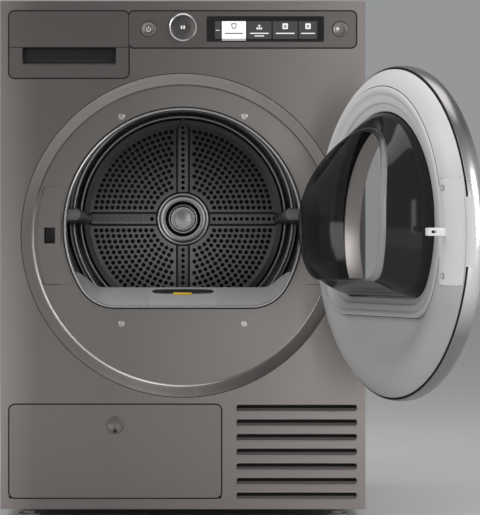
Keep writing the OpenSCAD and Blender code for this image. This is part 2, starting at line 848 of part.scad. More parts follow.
// The bowl: deepest at mid height, a little less at the bottom, and sloped back at the top.
module bowl_solid(inset) {
    far = bowl_depth - inset;
    hull() {
        bowl_slice(-3.2, bowl_r - inset, bowl_drop - inset);
        bowl_slice(20, bowl_r - 2 - inset, bowl_drop - 2 - inset);
        bowl_slice(far - 36, end_r - 17 - inset, end_drop - inset);
        intersection() {
            bowl_slice(far - 7, end_r - inset, end_drop - inset);
            translate([-end_r, 0, mouth_z - end_r]) cube([2 * end_r, door_back + bowl_depth, end_r]);
        }
        intersection() {
            bowl_slice(far, end_r - 5 - inset, end_drop - inset);
            translate([-end_r, 0, mouth_z - 30]) cube([2 * end_r, door_back + bowl_depth, 60]);
        }
    }
}

module door_bowl() {
    color("#26292b") on_door() difference() {
        union() {
            bowl_solid(0);
            face(door_back - 6, 3) translate([0, mouth_z]) flat_circle(bowl_r + 5, bowl_drop + 5, bowl_corner);
        }
        bowl_solid(3);
        face(door_back - 12, 9) translate([0, mouth_z]) flat_circle(bowl_r - 3, bowl_drop - 3, bowl_corner - 2);
    }
}

// The white inner frame: a dished ring with a raised plinth around the glass.
module door_frame() {
    r = door_r - 5;
    b = door_back;
    plinth = 20;
    color("#dcdcda") on_door() difference() {
        union() {
            door_dome();
            face(b - 3, plinth + 3) translate([0, mouth_z]) flat_circle(208, 138, 76);
        }
        face(b - 4, plinth - 7) difference() {
            translate([0, mouth_z]) flat_circle(205, 135, 73);
            translate([0, mouth_z]) flat_circle(bowl_r + 3.3, bowl_drop + 3.3, 53);
        }
        face(b - 4, plinth + 10) translate([0, mouth_z]) flat_circle(bowl_r + 0.3, bowl_drop + 0.3, bowl_corner);
        face(b + plinth - 8, 20) translate([0, mouth_z]) flat_circle(184, 122, 60);
        face(b - 1.5, dome_h + 9) lock_outline(0.3);
        hinge_notch();
    }
}

module lock_outline(grow) {
    intersection() {
        translate([0, door_z]) circle(door_r - 9 + grow);
        tile(-door_r - grow, door_z - 75.5 - grow, 45 + 2 * grow, 151 + 2 * grow, 3);
    }
}

module lock_cover() {
    color("#d2d2d0") on_door() difference() {
        intersection() {
            face(door_back - 1.3, dome_h + 8) lock_outline(0);
            door_dome();
        }
        for (s = [-1, 1]) bar_y(latch_x + 7, door_z + s * 62, door_back + dome_h - 6, 9, 2);
        translate([latch_x - hook_w / 2 - 0.1, door_back + hook_base, door_z - 6.1])
            cube([hook_w + 0.2, 30, 12.2]);
    }
}
module door_hook() {
    reach = surround_depth + 24 - door_back - hook_base;
    color("#e4e4e2") on_door() difference() {
        translate([latch_x - hook_w / 2, door_back + hook_base + 0.05, door_z - 6]) cube([hook_w, reach, 12]);
        translate([latch_x - hook_w, door_back + hook_base + reach - 15, door_z - 3]) cube([2 * hook_w, 9, 6]);
    }
}
module hinge_arm() {
    h = 2 * (hinge_half - lug_t - lug_gap);
    z = door_z - h / 2;
    color("silver") on_door() difference() {
        union() {
            translate([190, door_front + cover_t, z]) cube([hinge_x - 190, 9, h]);
            translate([hinge_x, hinge_y, z]) cylinder(h = h, r = 8);
        }
        translate([hinge_x, hinge_y, z - 1]) cylinder(h = h + 2, r = hinge_pin_r + run_gap);
    }
}

module service_flap() {
    wall = 3;
    reach = gap + flap_ear;
    color("#6b6663") for (x = [flap_x - reach, flap_x + flap_w - wall + 1])
        translate([x, flap_pivot_y, flap_pivot_z]) rotate([0, 90, 0])
            cylinder(h = reach + wall - 1, r = flap_pin_r);
    color("#6b6663") difference() {
        face(-0.5, flap_t) tile(flap_x, flap_z, flap_w, flap_h, 9);
        face(1.5, flap_t) tile(flap_x + wall, flap_z + wall, flap_w - 2 * wall, flap_h - 2 * wall, 6);
        bar_y(knob_x, knob_zf, -2, flap_t, 10 + side_gap);
    }
}
knob_x = flap_x + 172.3;
knob_zf = flap_z + flap_h - 33;

module flap_knob() {
    color("#8b8783") difference() {
        turned(knob_x, knob_zf) polygon([[0, -3], [12.2, -3], [14.2, -1.5], [14.2, -0.9], [10, -0.9], [10, 6],
            [0, 6]]);
        translate([knob_x - 2.5, -4, knob_zf - 16]) cube([5, 2.2, 14]);
    }
}

front_panel();
door_surround();
side_left();
side_right();
worktop();
rear_panel();
base_tray();
vent_grille();
control_fascia();
display_glass();
tank_chute();
latch_plate();
hinge_bracket();
opening_collar();
filter_sill();
filter_duct();
front_bulkhead();
felt_seals();
rear_bulkhead();
rear_duct();
motor();
motor_bracket();
drive_belt();
fan_housing();
compressor();
evaporator();
condenser();
refrigerant_pipes();
exchanger_cover();
mains_inlet();
foot_front_left();
foot_front_right();
foot_rear_left();
foot_rear_right();
dial();
power_button();
start_button();
drawer_front();
water_tank();
lint_filter();
drum_shell();
drum_back();
drum_hub();
drum_lifters();
roller_left();
roller_right();
motor_shaft();
fan_wheel();
tensioner_arm();
tensioner_pulley();
door_ring();
door_cover();
door_window();
door_frame();
door_bowl();
door_hook();
lock_cover();
hinge_arm();
service_flap();
flap_knob();
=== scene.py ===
# Camera and studio: a long lens straight in front of the machine, at the height of its
# middle, with a pale floor, a pale surround and soft lights overhead and at the sides.
import math
import bmesh
import bpy
from mathutils import Matrix, Vector


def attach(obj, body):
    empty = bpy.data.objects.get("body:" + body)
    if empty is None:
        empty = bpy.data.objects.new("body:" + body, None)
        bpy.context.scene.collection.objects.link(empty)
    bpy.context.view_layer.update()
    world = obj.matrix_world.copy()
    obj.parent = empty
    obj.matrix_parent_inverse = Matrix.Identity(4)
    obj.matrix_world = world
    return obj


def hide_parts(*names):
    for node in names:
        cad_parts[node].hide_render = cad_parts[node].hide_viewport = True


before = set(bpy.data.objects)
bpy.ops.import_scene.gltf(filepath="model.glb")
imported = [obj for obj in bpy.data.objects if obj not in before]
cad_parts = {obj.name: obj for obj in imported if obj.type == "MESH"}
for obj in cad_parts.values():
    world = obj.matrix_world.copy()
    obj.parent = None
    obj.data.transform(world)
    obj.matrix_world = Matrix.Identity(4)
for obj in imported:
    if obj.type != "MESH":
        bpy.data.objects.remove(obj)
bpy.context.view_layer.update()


def let_go():
    """Deselects everything, so that the next operator acts on its own piece alone."""
    if bpy.context.object and bpy.context.object.mode != "OBJECT":
        bpy.ops.object.mode_set(mode="OBJECT")
    bpy.ops.object.select_all(action="DESELECT")


def pick(piece):
    """Makes a piece the only one that is selected, and the active one."""
    let_go()
    piece.select_set(True)
    bpy.context.view_layer.objects.active = piece


eye_distance, eye_height = 3.5, 0.4319
room_for_door = 0.11875  # shifts the view by this share of its width, towards the open door
let_go()
bpy.ops.object.camera_add(location=(0, -eye_distance, eye_height), rotation=(math.radians(90), 0, 0))
camera = bpy.context.object
camera.data.sensor_fit = "HORIZONTAL"
camera.data.sensor_width = 36
camera.data.lens = 161.0
camera.data.shift_x = room_for_door
camera.data.clip_end = 60
bpy.context.scene.camera = camera


class Value:
    """A node's output that arithmetic adds Math nodes to."""

    def __init__(self, finish, socket):
        self.finish, self.socket = finish, socket

    def __add__(self, other):
        return self.finish.math("ADD", self, other)

    def __radd__(self, other):
        return self.finish.math("ADD", other, self)

    def __sub__(self, other):
        return self.finish.math("SUBTRACT", self, other)

    def __rsub__(self, other):
        return self.finish.math("SUBTRACT", other, self)

    def __mul__(self, other):
        return self.finish.math("MULTIPLY", self, other)

    def __rmul__(self, other):
        return self.finish.math("MULTIPLY", other, self)

    def __gt__(self, other):
        return self.finish.math("GREATER_THAN", self, other)

    def __lt__(self, other):
        return self.finish.math("LESS_THAN", self, other)


class Finish:
    """A material with one Principled shader, and the ways in which its surface varies."""

    def __init__(self, name, color, rough, metal=0.0, **sockets):
        self.mat = bpy.data.materials.new(name)
        self.mat.use_nodes = True
        self.tree = self.mat.node_tree
        self.shader = self.tree.nodes["Principled BSDF"]
        self.color = color
        start = {"Base Color": (*color, 1), "Roughness": rough, "Metallic": metal, **sockets}
        for key, value in start.items():
            self.shader.inputs[key].default_value = value

    def node(self, kind, settings=None, out=0, **inputs):
        made = self.tree.nodes.new("ShaderNode" + kind)
        for key, value in (settings or {}).items():
            setattr(made, key, value)
        for key, value in inputs.items():
            socket = made.inputs[int(key[1:])] if key[0] == "i" and key[1:].isdigit() else made.inputs[key]
            if isinstance(value, Value):
                self.tree.links.new(value.socket, socket)
            else:
                socket.default_value = value
        return Value(self, made.outputs[out])

    def math(self, operation, a, b=0.0):
        return self.node("Math", {"operation": operation}, i0=a, i1=b)

    def place(self):
        return self.node("TexCoord", out="Object")

    def axes(self):
        made = self.tree.nodes.new("ShaderNodeSeparateXYZ")
        self.tree.links.new(self.place().socket, made.inputs[0])
        return [Value(self, made.outputs[i]) for i in range(3)]

    def from_axis(self, height):
        """How far across and up from an axis along Y at a height in millimetres, and how far off."""
        side, _, up = self.axes()
        up = up - height / 1000
        return side, up, self.math("SQRT", side * side + up * up)

    def noise(self, scale, detail=2.0):
        return self.node("TexNoise", i0=self.place(), Scale=scale, Detail=detail)

    def ramp(self, factor, low, high):
        return self.node("MapRange", Value=factor, i1=low, i2=high)

    def blend(self, factor, a, b):
        made = self.tree.nodes.new("ShaderNodeMix")
        made.data_type = "RGBA"
        self.tree.links.new(factor.socket, made.inputs["Factor"])
        for key, value in (("A", a), ("B", b)):
            socket = [s for s in made.inputs if s.name == key and s.type == "RGBA"][0]
            if isinstance(value, Value):
                self.tree.links.new(value.socket, socket)
            else:
                socket.default_value = (*value, 1)
        return Value(self, [s for s in made.outputs if s.type == "RGBA"][0])

    def feed(self, socket, value):
        self.tree.links.new(value.socket, self.shader.inputs[socket])
        return self

    def tint(self, factor, other):
        return self.feed("Base Color", self.blend(factor, self.color, other))

    def bump(self, height, distance, strength=1.0):
        made = self.tree.nodes.new("ShaderNodeBump")
        made.inputs["Distance"].default_value = distance
        made.inputs["Strength"].default_value = strength
        self.tree.links.new(height.socket, made.inputs["Height"])
        return self.feed("Normal", Value(self, made.outputs[0]))

    def mottle(self, scale, detail, other):
        """Patches of another colour."""
        return self.tint(self.noise(scale, detail), other)

    def patchy(self, low, span, scale, detail):
        """Patches that are less or more glossy."""
        return self.feed("Roughness", low + span * self.noise(scale, detail))

    def grain(self, scale, distance, strength, detail=2):
        """A fine relief, as moulds and rolls leave it."""
        return self.bump(self.noise(scale, detail), distance, strength)


def grey(level):
    return level, level, level


def lamp(name, x, y, z, aim, wide, high, watts):
    """A soft box of light that faces a point."""
    let_go()
    bpy.ops.object.light_add(type="AREA", location=(x, y, z))
    light = bpy.context.object
    light.name = name
    light.rotation_euler = (Vector(aim) - Vector((x, y, z))).to_track_quat("-Z", "Y").to_euler()
    light.data.shape = "RECTANGLE"
    light.data.size, light.data.size_y = wide, high
    light.data.energy = watts


lamp("key_light", -2.6, -1.6, 2.4, (0, 0, 0.45), 1.4, 1.8, 30)
lamp("side_light", 2.5, -2.2, 1.3, (0.2, 0, 0.45), 0.8, 2.0, 26)
lamp("top_light", 0.1, 0.1, 2.6, (0.1, 0, 0.4), 2.2, 1.4, 20)
lamp("floor_bounce", 0.0, -1.3, 0.04, (0, 0.1, 0.9), 1.8, 0.8, 2)
lamp("right_panel", 1.0, -3.3, 0.9, (0.3, 0, 0.45), 0.4, 1.9, 7.5)
lamp("left_panel", -1.25, -3.2, 0.6, (-0.3, 0, 0.45), 0.25, 1.2, 3.5)

world = bpy.data.worlds.new("studio")
world.use_nodes = True
surround = world.node_tree.nodes["Background"]
surround.inputs["Color"].default_value = (0.80, 0.81, 0.83, 1)
surround.inputs["Strength"].default_value = 0.38
bpy.context.scene.world = world
bpy.context.scene.view_settings.view_transform = "Standard"

let_go()
bpy.ops.mesh.primitive_plane_add(size=24, location=(0, 4, 0))
floor = bpy.context.object
floor.name = "studio_floor"
pale = Finish("pale_floor", grey(0.80), 0.7).mottle(3, 3, (0.76, 0.76, 0.77))
floor.data.materials.append(pale.mat)


# Painted cabinet: zinc-coated sheet steel, folded, with rounded cut edges and a warm grey
# metallic lacquer baked on. The front sheet has the openings for drawer, door, flap and air.
warm_grey = (0.215, 0.197, 0.187)
door_z = 468.0  # height of the door's axis, in millimetres


def lacquer(name, color, rough=0.32, metal=0.85, painted_sheen_share=1.0):
    """A metallic lacquer whose colour is painted lighter towards both side edges by a share of its tone, a
    painted reflection.
    """
    paint = Finish(name, color, rough, metal, **{"Coat Weight": 0.08, "Coat Roughness": 0.22})
    flake = paint.noise(2600, 1)
    # Painted reflection: darker left of the middle, lighter to the right, and lighter again at the far left
    # edge.
    across = paint.axes()[0]
    right = paint.ramp(across, -0.12, 0.26)
    far_left = paint.ramp(across, -0.24, -0.30)
    tone = paint.blend(right, tuple(c * (1 - 0.16 * painted_sheen_share) for c in color),
                       tuple(c * (1 + 0.42 * painted_sheen_share) for c in color))
    tone = paint.blend(far_left, tone, tuple(c * (1 + 0.5 * painted_sheen_share) for c in color))
    paint.feed("Base Color", paint.blend(0.2 * flake, tone, tuple(c * 0.7 for c in color)))
    paint.feed("Roughness", rough - 0.04 + 0.08 * flake)
    return paint.bump(flake, 0.00004, 0.5)


def cad(name, finish, edge=0.0, segments=3):
    """Gives a CAD node its finish, and rounds its sharp edges by a width in metres."""
    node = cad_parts[name]
    node.data.materials.clear()
    node.data.materials.append(finish.mat)
    if edge:
        weld = node.modifiers.new("joined", "WELD")
        weld.merge_threshold = 0.00001
        flat = node.modifiers.new("flat", "DECIMATE")
        flat.decimate_type = "DISSOLVE"
        flat.angle_limit = math.radians(0.5)
        bevel = node.modifiers.new("edge", "BEVEL")
        bevel.width, bevel.segments = edge, segments
        bevel.limit_method, bevel.angle_limit = "ANGLE", math.radians(32)
        bevel.harden_normals = True
    return node


cabinet_paint = lacquer("cabinet_paint", warm_grey)
for part in ("front_panel", "worktop", "side_left", "side_right"):
    cad(part, cabinet_paint, 0.0007)
pressed = lacquer("pressed_band", warm_grey, 0.36, 0.55)
# Painted light and shade: the plate darker to the left and lighter to the right, the band lighter at the top
# and darker at its lower right.
side, up, reach = pressed.from_axis(door_z)
shaded = pressed.ramp(side - up, 0.20, 0.36)
plate_painted_light = pressed.blend(pressed.ramp(side, -0.10, 0.20), (0.185, 0.170, 0.161),
                           (0.31, 0.284, 0.27))
band_painted_light = pressed.blend(pressed.ramp(up, 0.032, 0.252), (0.37, 0.345, 0.33), (0.62, 0.58, 0.56))
pressed.feed("Base Color", pressed.blend(reach > 0.2474, plate_painted_light,
                                         pressed.blend(shaded, band_painted_light, (0.11, 0.102, 0.098))))
cad("door_surround", pressed, 0.0012)

# Back of the cabinet and the two bulkheads that carry the drum: bare zinc-coated sheet,
# with the cloudy, uneven gloss of the zinc.
zinc = Finish("galvanised_sheet", (0.52, 0.53, 0.54), 0.45, 0.9)
zinc.feed("Base Color", zinc.blend(zinc.noise(60, 3), (0.50, 0.51, 0.52), (0.62, 0.63, 0.65)))
zinc.patchy(0.34, 0.24, 45, 3)
for part in ("rear_panel", "front_bulkhead", "rear_bulkhead", "motor_bracket", "tensioner_arm"):
    cad(part, zinc, 0.0004, 2)


# Louvre panel: a moulded plastic panel clipped in behind the seven air slots. Each slot
# has a rolled lip in the front sheet and a slanting blade behind it.
louvre_plastic = Finish("louvre_plastic", (0.05, 0.047, 0.045), 0.42).grain(900, 0.00008, 0.4)
cad("vent_grille", louvre_plastic, 0.0008, 2)


def outline(name, points, y):
    """Starts a piece as a ring of points (x, z) in millimetres at a depth, in edit mode."""
    let_go()
    bpy.ops.mesh.primitive_circle_add(vertices=len(points), radius=0.1, rotation=(math.radians(90), 0, 0))
    piece = bpy.context.object
    piece.name = name
    bpy.ops.object.transform_apply(location=False)
    bpy.ops.object.mode_set(mode="EDIT")
    bpy.ops.mesh.select_all(action="SELECT")
    mesh = bmesh.from_edit_mesh(piece.data)
    mesh.verts.ensure_lookup_table()
    order = list(mesh.verts)
    start = order[0]
    walk, last = [start], None
    while len(walk) < len(order):
        here = walk[-1]
        step = [e.other_vert(here) for e in here.link_edges if e.other_vert(here) is not last]
        last = here
        walk.append(step[0])
    for vert, (x, z) in zip(walk, points):
        vert.co = (x / 1000, (y(x, z) if callable(y) else y) / 1000, z / 1000)
    bmesh.update_edit_mesh(piece.data)
    return piece, [v.index for v in walk]


def carry_on(piece, walk, points, y):
    """Extrudes the last ring of a piece to a new ring of points at a depth."""
    bpy.ops.mesh.extrude_edges_indiv()
    mesh = bmesh.from_edit_mesh(piece.data)
    mesh.verts.ensure_lookup_table()
    fresh = {v.index for v in mesh.verts if v.select}
    ring = []
    for index in walk:
        here = mesh.verts[index]
        ring += [e.other_vert(here).index for e in here.link_edges if e.other_vert(here).index in fresh][:1]
    for index, (x, z) in zip(ring, points):
        mesh.verts[index].co = (x / 1000, (y(x, z) if callable(y) else y) / 1000, z / 1000)
    bmesh.update_edit_mesh(piece.data)
    return ring


def settle(piece, finish, body, smooth=32, flip=False):
    """Ends a piece: normals outwards, smooth shading, its finish, and the body it rides on."""
    pick(piece)
    bpy.ops.object.mode_set(mode="EDIT")
    bpy.ops.mesh.select_all(action="SELECT")
    bpy.ops.mesh.remove_doubles(threshold=0.000005)
    bpy.ops.mesh.normals_make_consistent(inside=flip)
    pick(piece)
    bpy.ops.object.transform_apply()
    bpy.ops.object.shade_smooth_by_angle(angle=math.radians(smooth))
    piece.data.materials.clear()
    piece.data.materials.append(finish.mat)
    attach(piece, body)
    return piece


def sweep(name, rings, finish, body, ends=(False, False), smooth=32, flip=False):
    """A piece from rings of points with their depths, in order, its ends filled where asked."""
    piece, walk = outline(name, *rings[0])
    if ends[0]:
        bpy.ops.mesh.edge_face_add()
    for points, y in rings[1:]:
        walk = carry_on(piece, walk, points, y)
        if len(set(points)) == 1:
            bpy.ops.mesh.merge(type="CENTER")
            return settle(piece, finish, body, smooth, flip)
    if ends[1]:
        bpy.ops.mesh.edge_face_add()
    return settle(piece, finish, body, smooth, flip)


def slab(name, points, y, thick, finish, body):
    """A flat piece with one outline, from a depth and a thickness."""
    return sweep(name, [(points, y), (points, y + thick)], finish, body, ends=(True, True))


def circle_line(r, count, x=0.0, z=0.0):
    angles = [math.tau * i / count for i in range(count)]
    return [(x + r * math.sin(a), z + r * math.cos(a)) for a in angles]


def turned(name, profile, finish, body, x, z, count=96):
    """A piece turned about an axis along Y, from a profile of (radius, depth) in millimetres."""
    rings = [(circle_line(r, count, x, z) if r else [(x, z)] * count, y) for r, y in profile]
    return sweep(name, rings, finish, body)


def round_tile(x, z, wide, high, r, corner=6):
    """Points of a rectangle with round corners, from its lower left corner."""
    points = []
    for cx, cz, start in ((x + wide - r, z + high - r, 0), (x + wide - r, z + r, 90),
                          (x + r, z + r, 180), (x + r, z + high - r, 270)):
        for i in range(corner + 1):
            a = math.radians(start + 90 * i / corner)
            points.append((cx + r * math.sin(a), cz + r * math.cos(a)))
    return points


blade_paint = lacquer("blade_paint", (0.10, 0.092, 0.088), 0.4)
slot_count, slot_pitch = 7, 23.85
slot_x, slot_wide, slot_high, slot_top = 87.0, 197.0, 11.5, 192.3
for i in range(slot_count):
    z = slot_top - slot_high - slot_pitch * i
    lip = [(round_tile(slot_x + k, z + k, slot_wide - 2 * k, slot_high - 2 * k, max(4 - k, 1.0)), y)
           for k, y in ((-1.0, -0.05), (-0.6, -0.45), (0.0, -0.5), (0.8, 0.2), (1.3, 2.0), (1.6, 14.0))]
    sweep(f"slot_lip_{i + 1}", lip, cabinet_paint, "cabinet")
    left, right = slot_x + 1.4, slot_x + slot_wide - 1.4
    blade = [(left, z + 0.9), (right, z + 0.9), (right, z + 5.4), (left, z + 5.4)]
    rings = [(blade, lambda a, b, start=start, foot=z: start + (b - foot) * 0.35) for start in (0.3, 0.9)]
    sweep(f"slot_blade_{i + 1}", rings, blade_paint, "cabinet", ends=(True, True))
# A near-black sheet behind the slots: painted shadow for the dark inside of the duct.
shade = Finish("duct_shadow", grey(0.006), 0.7).grain(80, 0.0005, 0.3)
slab("louvre_back_shadow", round_tile(82, 32, 207, 166, 6), 14.2, 1.8, shade, "cabinet")


# Sunk ring round the door: a pressed sheet with a raised edge, let into the front. Four
# plugs close the holes by which the door can be hung on the other side.
plug_paint = lacquer("plug_paint", (0.55, 0.52, 0.50), 0.3)
joint_and_shadow_dark = Finish("joint_shadow", (0.035, 0.033, 0.032), 0.6).grain(300, 0.0001, 0.2)
for i, (x, z) in enumerate(((-101, 663.7), (101, 663.7), (-101, 323.1), (101, 323.1))):
    turned(f"hinge_plug_{i + 1}", [
        (5.6, 26), (5.4, 25.2), (4.6, 24.7), (3.0, 24.6), (2.6, 25.3), (1.6, 25.4), (1.3, 24.8), (0, 24.7)],
        plug_paint, "cabinet", x, z, count=24)
for part in ("latch_plate", "hinge_bracket"):
    cad(part, pressed, 0.0005)
for name, x in (("latch_plate_joint", -231.0), ("hinge_plate_joint", 199.5)):
    sweep(name, [(round_tile(x + k, 387 + k, 31.5 - 2 * k, 162 - 2 * k, 7 - k), 25.88) for k in (0.0, 0.9)],
          joint_and_shadow_dark, "cabinet")
edge_highlight = lacquer("pressed_edge_highlight", (0.60, 0.57, 0.55), 0.3, 0.8, 0.0)
# The rolled edge is painted near white along its lower left, a painted highlight, and dark elsewhere.
side, up, _ = edge_highlight.from_axis(door_z)
edge_highlight.feed("Base Color", edge_highlight.blend(edge_highlight.ramp(side + up, -0.16, -0.30), (0.16, 0.15, 0.145),
                                   (0.92, 0.90, 0.88)))
turned("pressed_ring_edge", [
    (248.2, 24.2), (247.6, 24.2), (246.9, 25.0), (246.2, 25.5), (245.4, 25.95)],
    edge_highlight, "cabinet", 0, door_z, count=160)
# A dark ring at the band's outer edge: painted shadow.
turned("pressed_ring_shadow", [
    (264.9, -0.06), (264.2, -0.02), (263.4, 1.1)],
    joint_and_shadow_dark, "cabinet", 0, door_z, count=160)

# Catch behind the latch hole: a black moulded box that the door's hook goes into, fixed
# behind its plate and open at the front.
black = Finish("black_plastic", grey(0.012), 0.38).grain(1200, 0.00006, 0.4).patchy(0.32, 0.14, 30, 3)
catch = [(round_tile(-227.8 + k, 455 + k, 17.6 - 2 * k, 26 - 2 * k, 1.0, 2), y)
         for k, y in ((-0.2, 26.5), (0.4, 27.5), (0.4, 57), (4, 57.4))]
sweep("door_catch", catch, black, "cabinet", ends=(False, True))


# Rim of the loading opening: a steel collar with a rolled lip, in front of a black seal.
# The opening is round above and flat below, with round lower corners.
mouth_z = 481.5  # height of the opening's round part


def d_line(r, drop, corner, count=160):
    """Points round a circle with a flat foot and round lower corners, evenly spaced from the top."""
    cz = corner - drop
    cx = math.sqrt((r - corner) ** 2 - cz ** 2)
    turn = math.degrees(math.atan2(cx, cz))
    round_part = [math.radians(turn * i / 120) for i in range(121)]
    corner_part = [math.radians(turn + (180 - turn) * i / 30) for i in range(1, 31)]
    half = [(r * math.sin(a), r * math.cos(a)) for a in round_part]
    half += [(cx + corner * math.sin(a), cz + corner * math.cos(a)) for a in corner_part]
    half += [(cx * (1 - i / 20), -drop) for i in range(1, 21)]
    full = half + [(-x, z) for x, z in reversed(half[1:-1])]
    full.append(full[0])
    spans = [math.dist(a, b) for a, b in zip(full, full[1:])]
    total, out, k, run = sum(spans), [], 0, 0.0
    for i in range(count):
        want = total * i / count
        while run + spans[k] < want:
            run += spans[k]
            k += 1
        t = (want - run) / spans[k]
        a, b = full[k], full[k + 1]
        out.append((a[0] + (b[0] - a[0]) * t, mouth_z + a[1] + (b[1] - a[1]) * t))
    return out


def mouth(margin):
    return d_line(195.6 - margin, 131.5 - margin, 65 - margin)


rim_steel = Finish("rim_steel", (0.50, 0.49, 0.48), 0.28, 0.95).patchy(0.20, 0.16, 400, 2)
gap_and_shade_black = Finish("shadow_gap", grey(0.01), 0.8).grain(300, 0.0001, 0.3)
seal = ((-2.6, 26.1), (-2.6, 25.0), (-1.2, 24.4), (0.6, 24.4), (0.6, 26.1))
lip = ((0.2, 26), (0.2, 23.6), (0.8, 22.2), (1.8, 21.6), (2.8, 22.0), (3.2, 23.0), (3.2, 57.8))
sweep("opening_seal", [(mouth(m), y) for m, y in seal], gap_and_shade_black, "cabinet")
sweep("opening_rim", [(mouth(m), y) for m, y in lip], rim_steel, "cabinet")
cad("opening_collar", rim_steel)


# Sill: a moulded ramp in the foot of the opening, with upturned wings and two fields of
# fine pips. The lint filter stands in a slot in its middle.
sill_grey = Finish("sill_plastic", grey(0.42), 0.36)
x_at, _, z_at = sill_grey.axes()
pips = sill_grey.math("SINE", x_at * 2100) * sill_grey.math("SINE", z_at * 2900)
field = (sill_grey.math("ABSOLUTE", x_at) > 0.055) * (sill_grey.math("ABSOLUTE", x_at) < 0.170)
pip_mask = (pips > 0.45) * field
sill_grey.tint(pip_mask * 0.55, grey(0.10))
sill_grey.bump(pip_mask + 0.3 * sill_grey.noise(1500, 2), 0.0003, 0.6)


def crest(x):
    """Height of the ramp's rear edge."""
    t = min(max((abs(x) - 134) / 44, 0), 1)
    return 385 + 24 * t * t * (3 - 2 * t)


def shaped_sheet(name, across, along, place, thick, offset=-1):
    """A sheet from a grid whose points are placed by a rule in millimetres, given a thickness."""
    let_go()
    bpy.ops.mesh.primitive_grid_add(x_subdivisions=across, y_subdivisions=along, size=2)
    piece = bpy.context.object
    piece.name = name
    for vert in piece.data.vertices:
        vert.co = [c / 1000 for c in place(vert.co.x, vert.co.y)]
    wall = piece.modifiers.new("wall", "SOLIDIFY")
    wall.thickness, wall.offset = thick, offset
    bpy.ops.object.modifier_apply(modifier="wall")
    return piece


sill_half, sill_front, sill_depth = 177.0, 22.4, 38
lower_edge = sorted((x, z) for x, z in d_line(193.0, 129.0, 62.5, 1600) if z < 440)


def sill_point(u, v):
    """A point of the ramp, across and from its front edge to its crest."""
    x, v = sill_half * u, (v + 1) / 2
    front = min(lower_edge, key=lambda p: abs(p[0] - x))[1]
    rear = max(crest(x), front)
    lift = v * (1.22 - 0.22 * v)
    crown = 1 - max(0.0, (v - 0.88) / 0.12) ** 2 * 0.12
    return x, sill_front + sill_depth * v, front + (rear - front) * min(lift, 1.0) * crown


sill = shaped_sheet("sill", 96, 14, sill_point, 0.002)
settle(sill, sill_grey, "cabinet")
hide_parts("filter_sill")


# Lint filter: a black moulded cassette with a fine mesh, lifted by its top edge, which has
# a yellow tab.
filter_black = Finish("filter_plastic", grey(0.015), 0.5)
ribs = filter_black.math("SINE", filter_black.axes()[0] * 2600)
filter_black.tint(ribs > 0.2, grey(0.05))
filter_black.bump(ribs, 0.0004, 0.7)
cad("lint_filter", filter_black)
cap = [(51.5, 0.0), (47, 3.4), (30, 4.4), (0, 4.8), (-30, 4.4), (-47, 3.4), (-51.5, 0.0), (-47, -3.4),
       (-30, -4.4), (0, -4.8), (30, -4.4), (47, -3.4)]
let_go()
bpy.ops.mesh.primitive_circle_add(vertices=12, radius=0.05, fill_type="NGON")
handle = bpy.context.object
handle.name = "filter_handle"
for vert, (x, s) in zip(handle.data.vertices, cap):
    vert.co = (x / 1000, (47.5 + s) / 1000, (376.6 + s * 0.62) / 1000)
bpy.ops.object.mode_set(mode="EDIT")
bpy.ops.mesh.select_all(action="SELECT")
bpy.ops.mesh.extrude_region_move(TRANSFORM_OT_translate={"value": (0, 0, -0.009)})
settle(handle, filter_black, "filter")
amber = Finish("tab_yellow", (0.80, 0.52, 0.03), 0.4).patchy(0.34, 0.14, 300, 2)
let_go()
bpy.ops.mesh.primitive_cube_add(size=1, location=(-0.001, 0.0415, 0.3722))
tab = bpy.context.object
tab.name = "filter_tab"
tab.scale = (0.031, 0.0022, 0.0042)
tab.rotation_euler = (math.radians(-38), 0, 0)
bpy.ops.object.transform_apply()
round_off = tab.modifiers.new("edge", "BEVEL")
round_off.width, round_off.segments = 0.0008, 2
bpy.ops.object.modifier_apply(modifier="edge")
settle(tab, amber, "filter")


# Drum: a rolled stainless shell with a pressed back that is punched all over with round
# holes. Four channels stiffen the back and meet a spun hub over the rear bearing.
def steel(name, color, rough, grain=900):
    """Bare steel, with a fine grain and some duller clouds."""
    made = Finish(name, color, rough, 1.0)
    lay = made.noise(grain, 2)
    made.feed("Roughness", rough - 0.05 + 0.12 * lay)
    made.tint(made.ramp(made.noise(14, 3), 0.35, 0.7) * 0.5, tuple(c * 0.78 for c in color))
    return made.bump(lay, 0.00005, 0.35)


drum_steel = steel("drum_steel", (0.20, 0.20, 0.202), 0.26)
cad("drum_shell", drum_steel, 0.0004, 2)
drum_z = 504.0  # height of the drum's axis, in millimetres


def punched(x, z, r, count=12):
    """Points of a round hole."""
    angles = [math.tau * i / count for i in range(count)]
    return [(x + r * math.cos(a), z + r * math.sin(a)) for a in angles]


def cut_sheet(name, shapes, half_thick, place, edge=0.0):
    """A flat sheet cut to outlines in millimetres, inner ones as holes, and put in its place."""
    curve = bpy.data.curves.new(name, "CURVE")
    curve.dimensions, curve.fill_mode, curve.extrude = "2D", "BOTH", half_thick
    if edge:
        curve.bevel_depth, curve.bevel_resolution = edge, 2
    for shape in shapes:
        line = curve.splines.new("POLY")
        line.points.add(len(shape) - 1)
        for point, (a, b) in zip(line.points, shape):
            point.co = (a / 1000, b / 1000, 0, 1)
        line.use_cyclic_u = True
    piece = bpy.data.objects.new(name, curve)
    bpy.context.collection.objects.link(piece)
    pick(piece)
    bpy.ops.object.convert(target="MESH")
    piece = bpy.context.object
    piece.matrix_world = place
    bpy.ops.object.transform_apply()
    return piece


def upright(y):
    """Stands a flat sheet on the drum's axis, at a depth in metres."""
    return Matrix.Translation((0, y, drum_z / 1000)) @ Matrix.Rotation(math.radians(90), 4, "X")


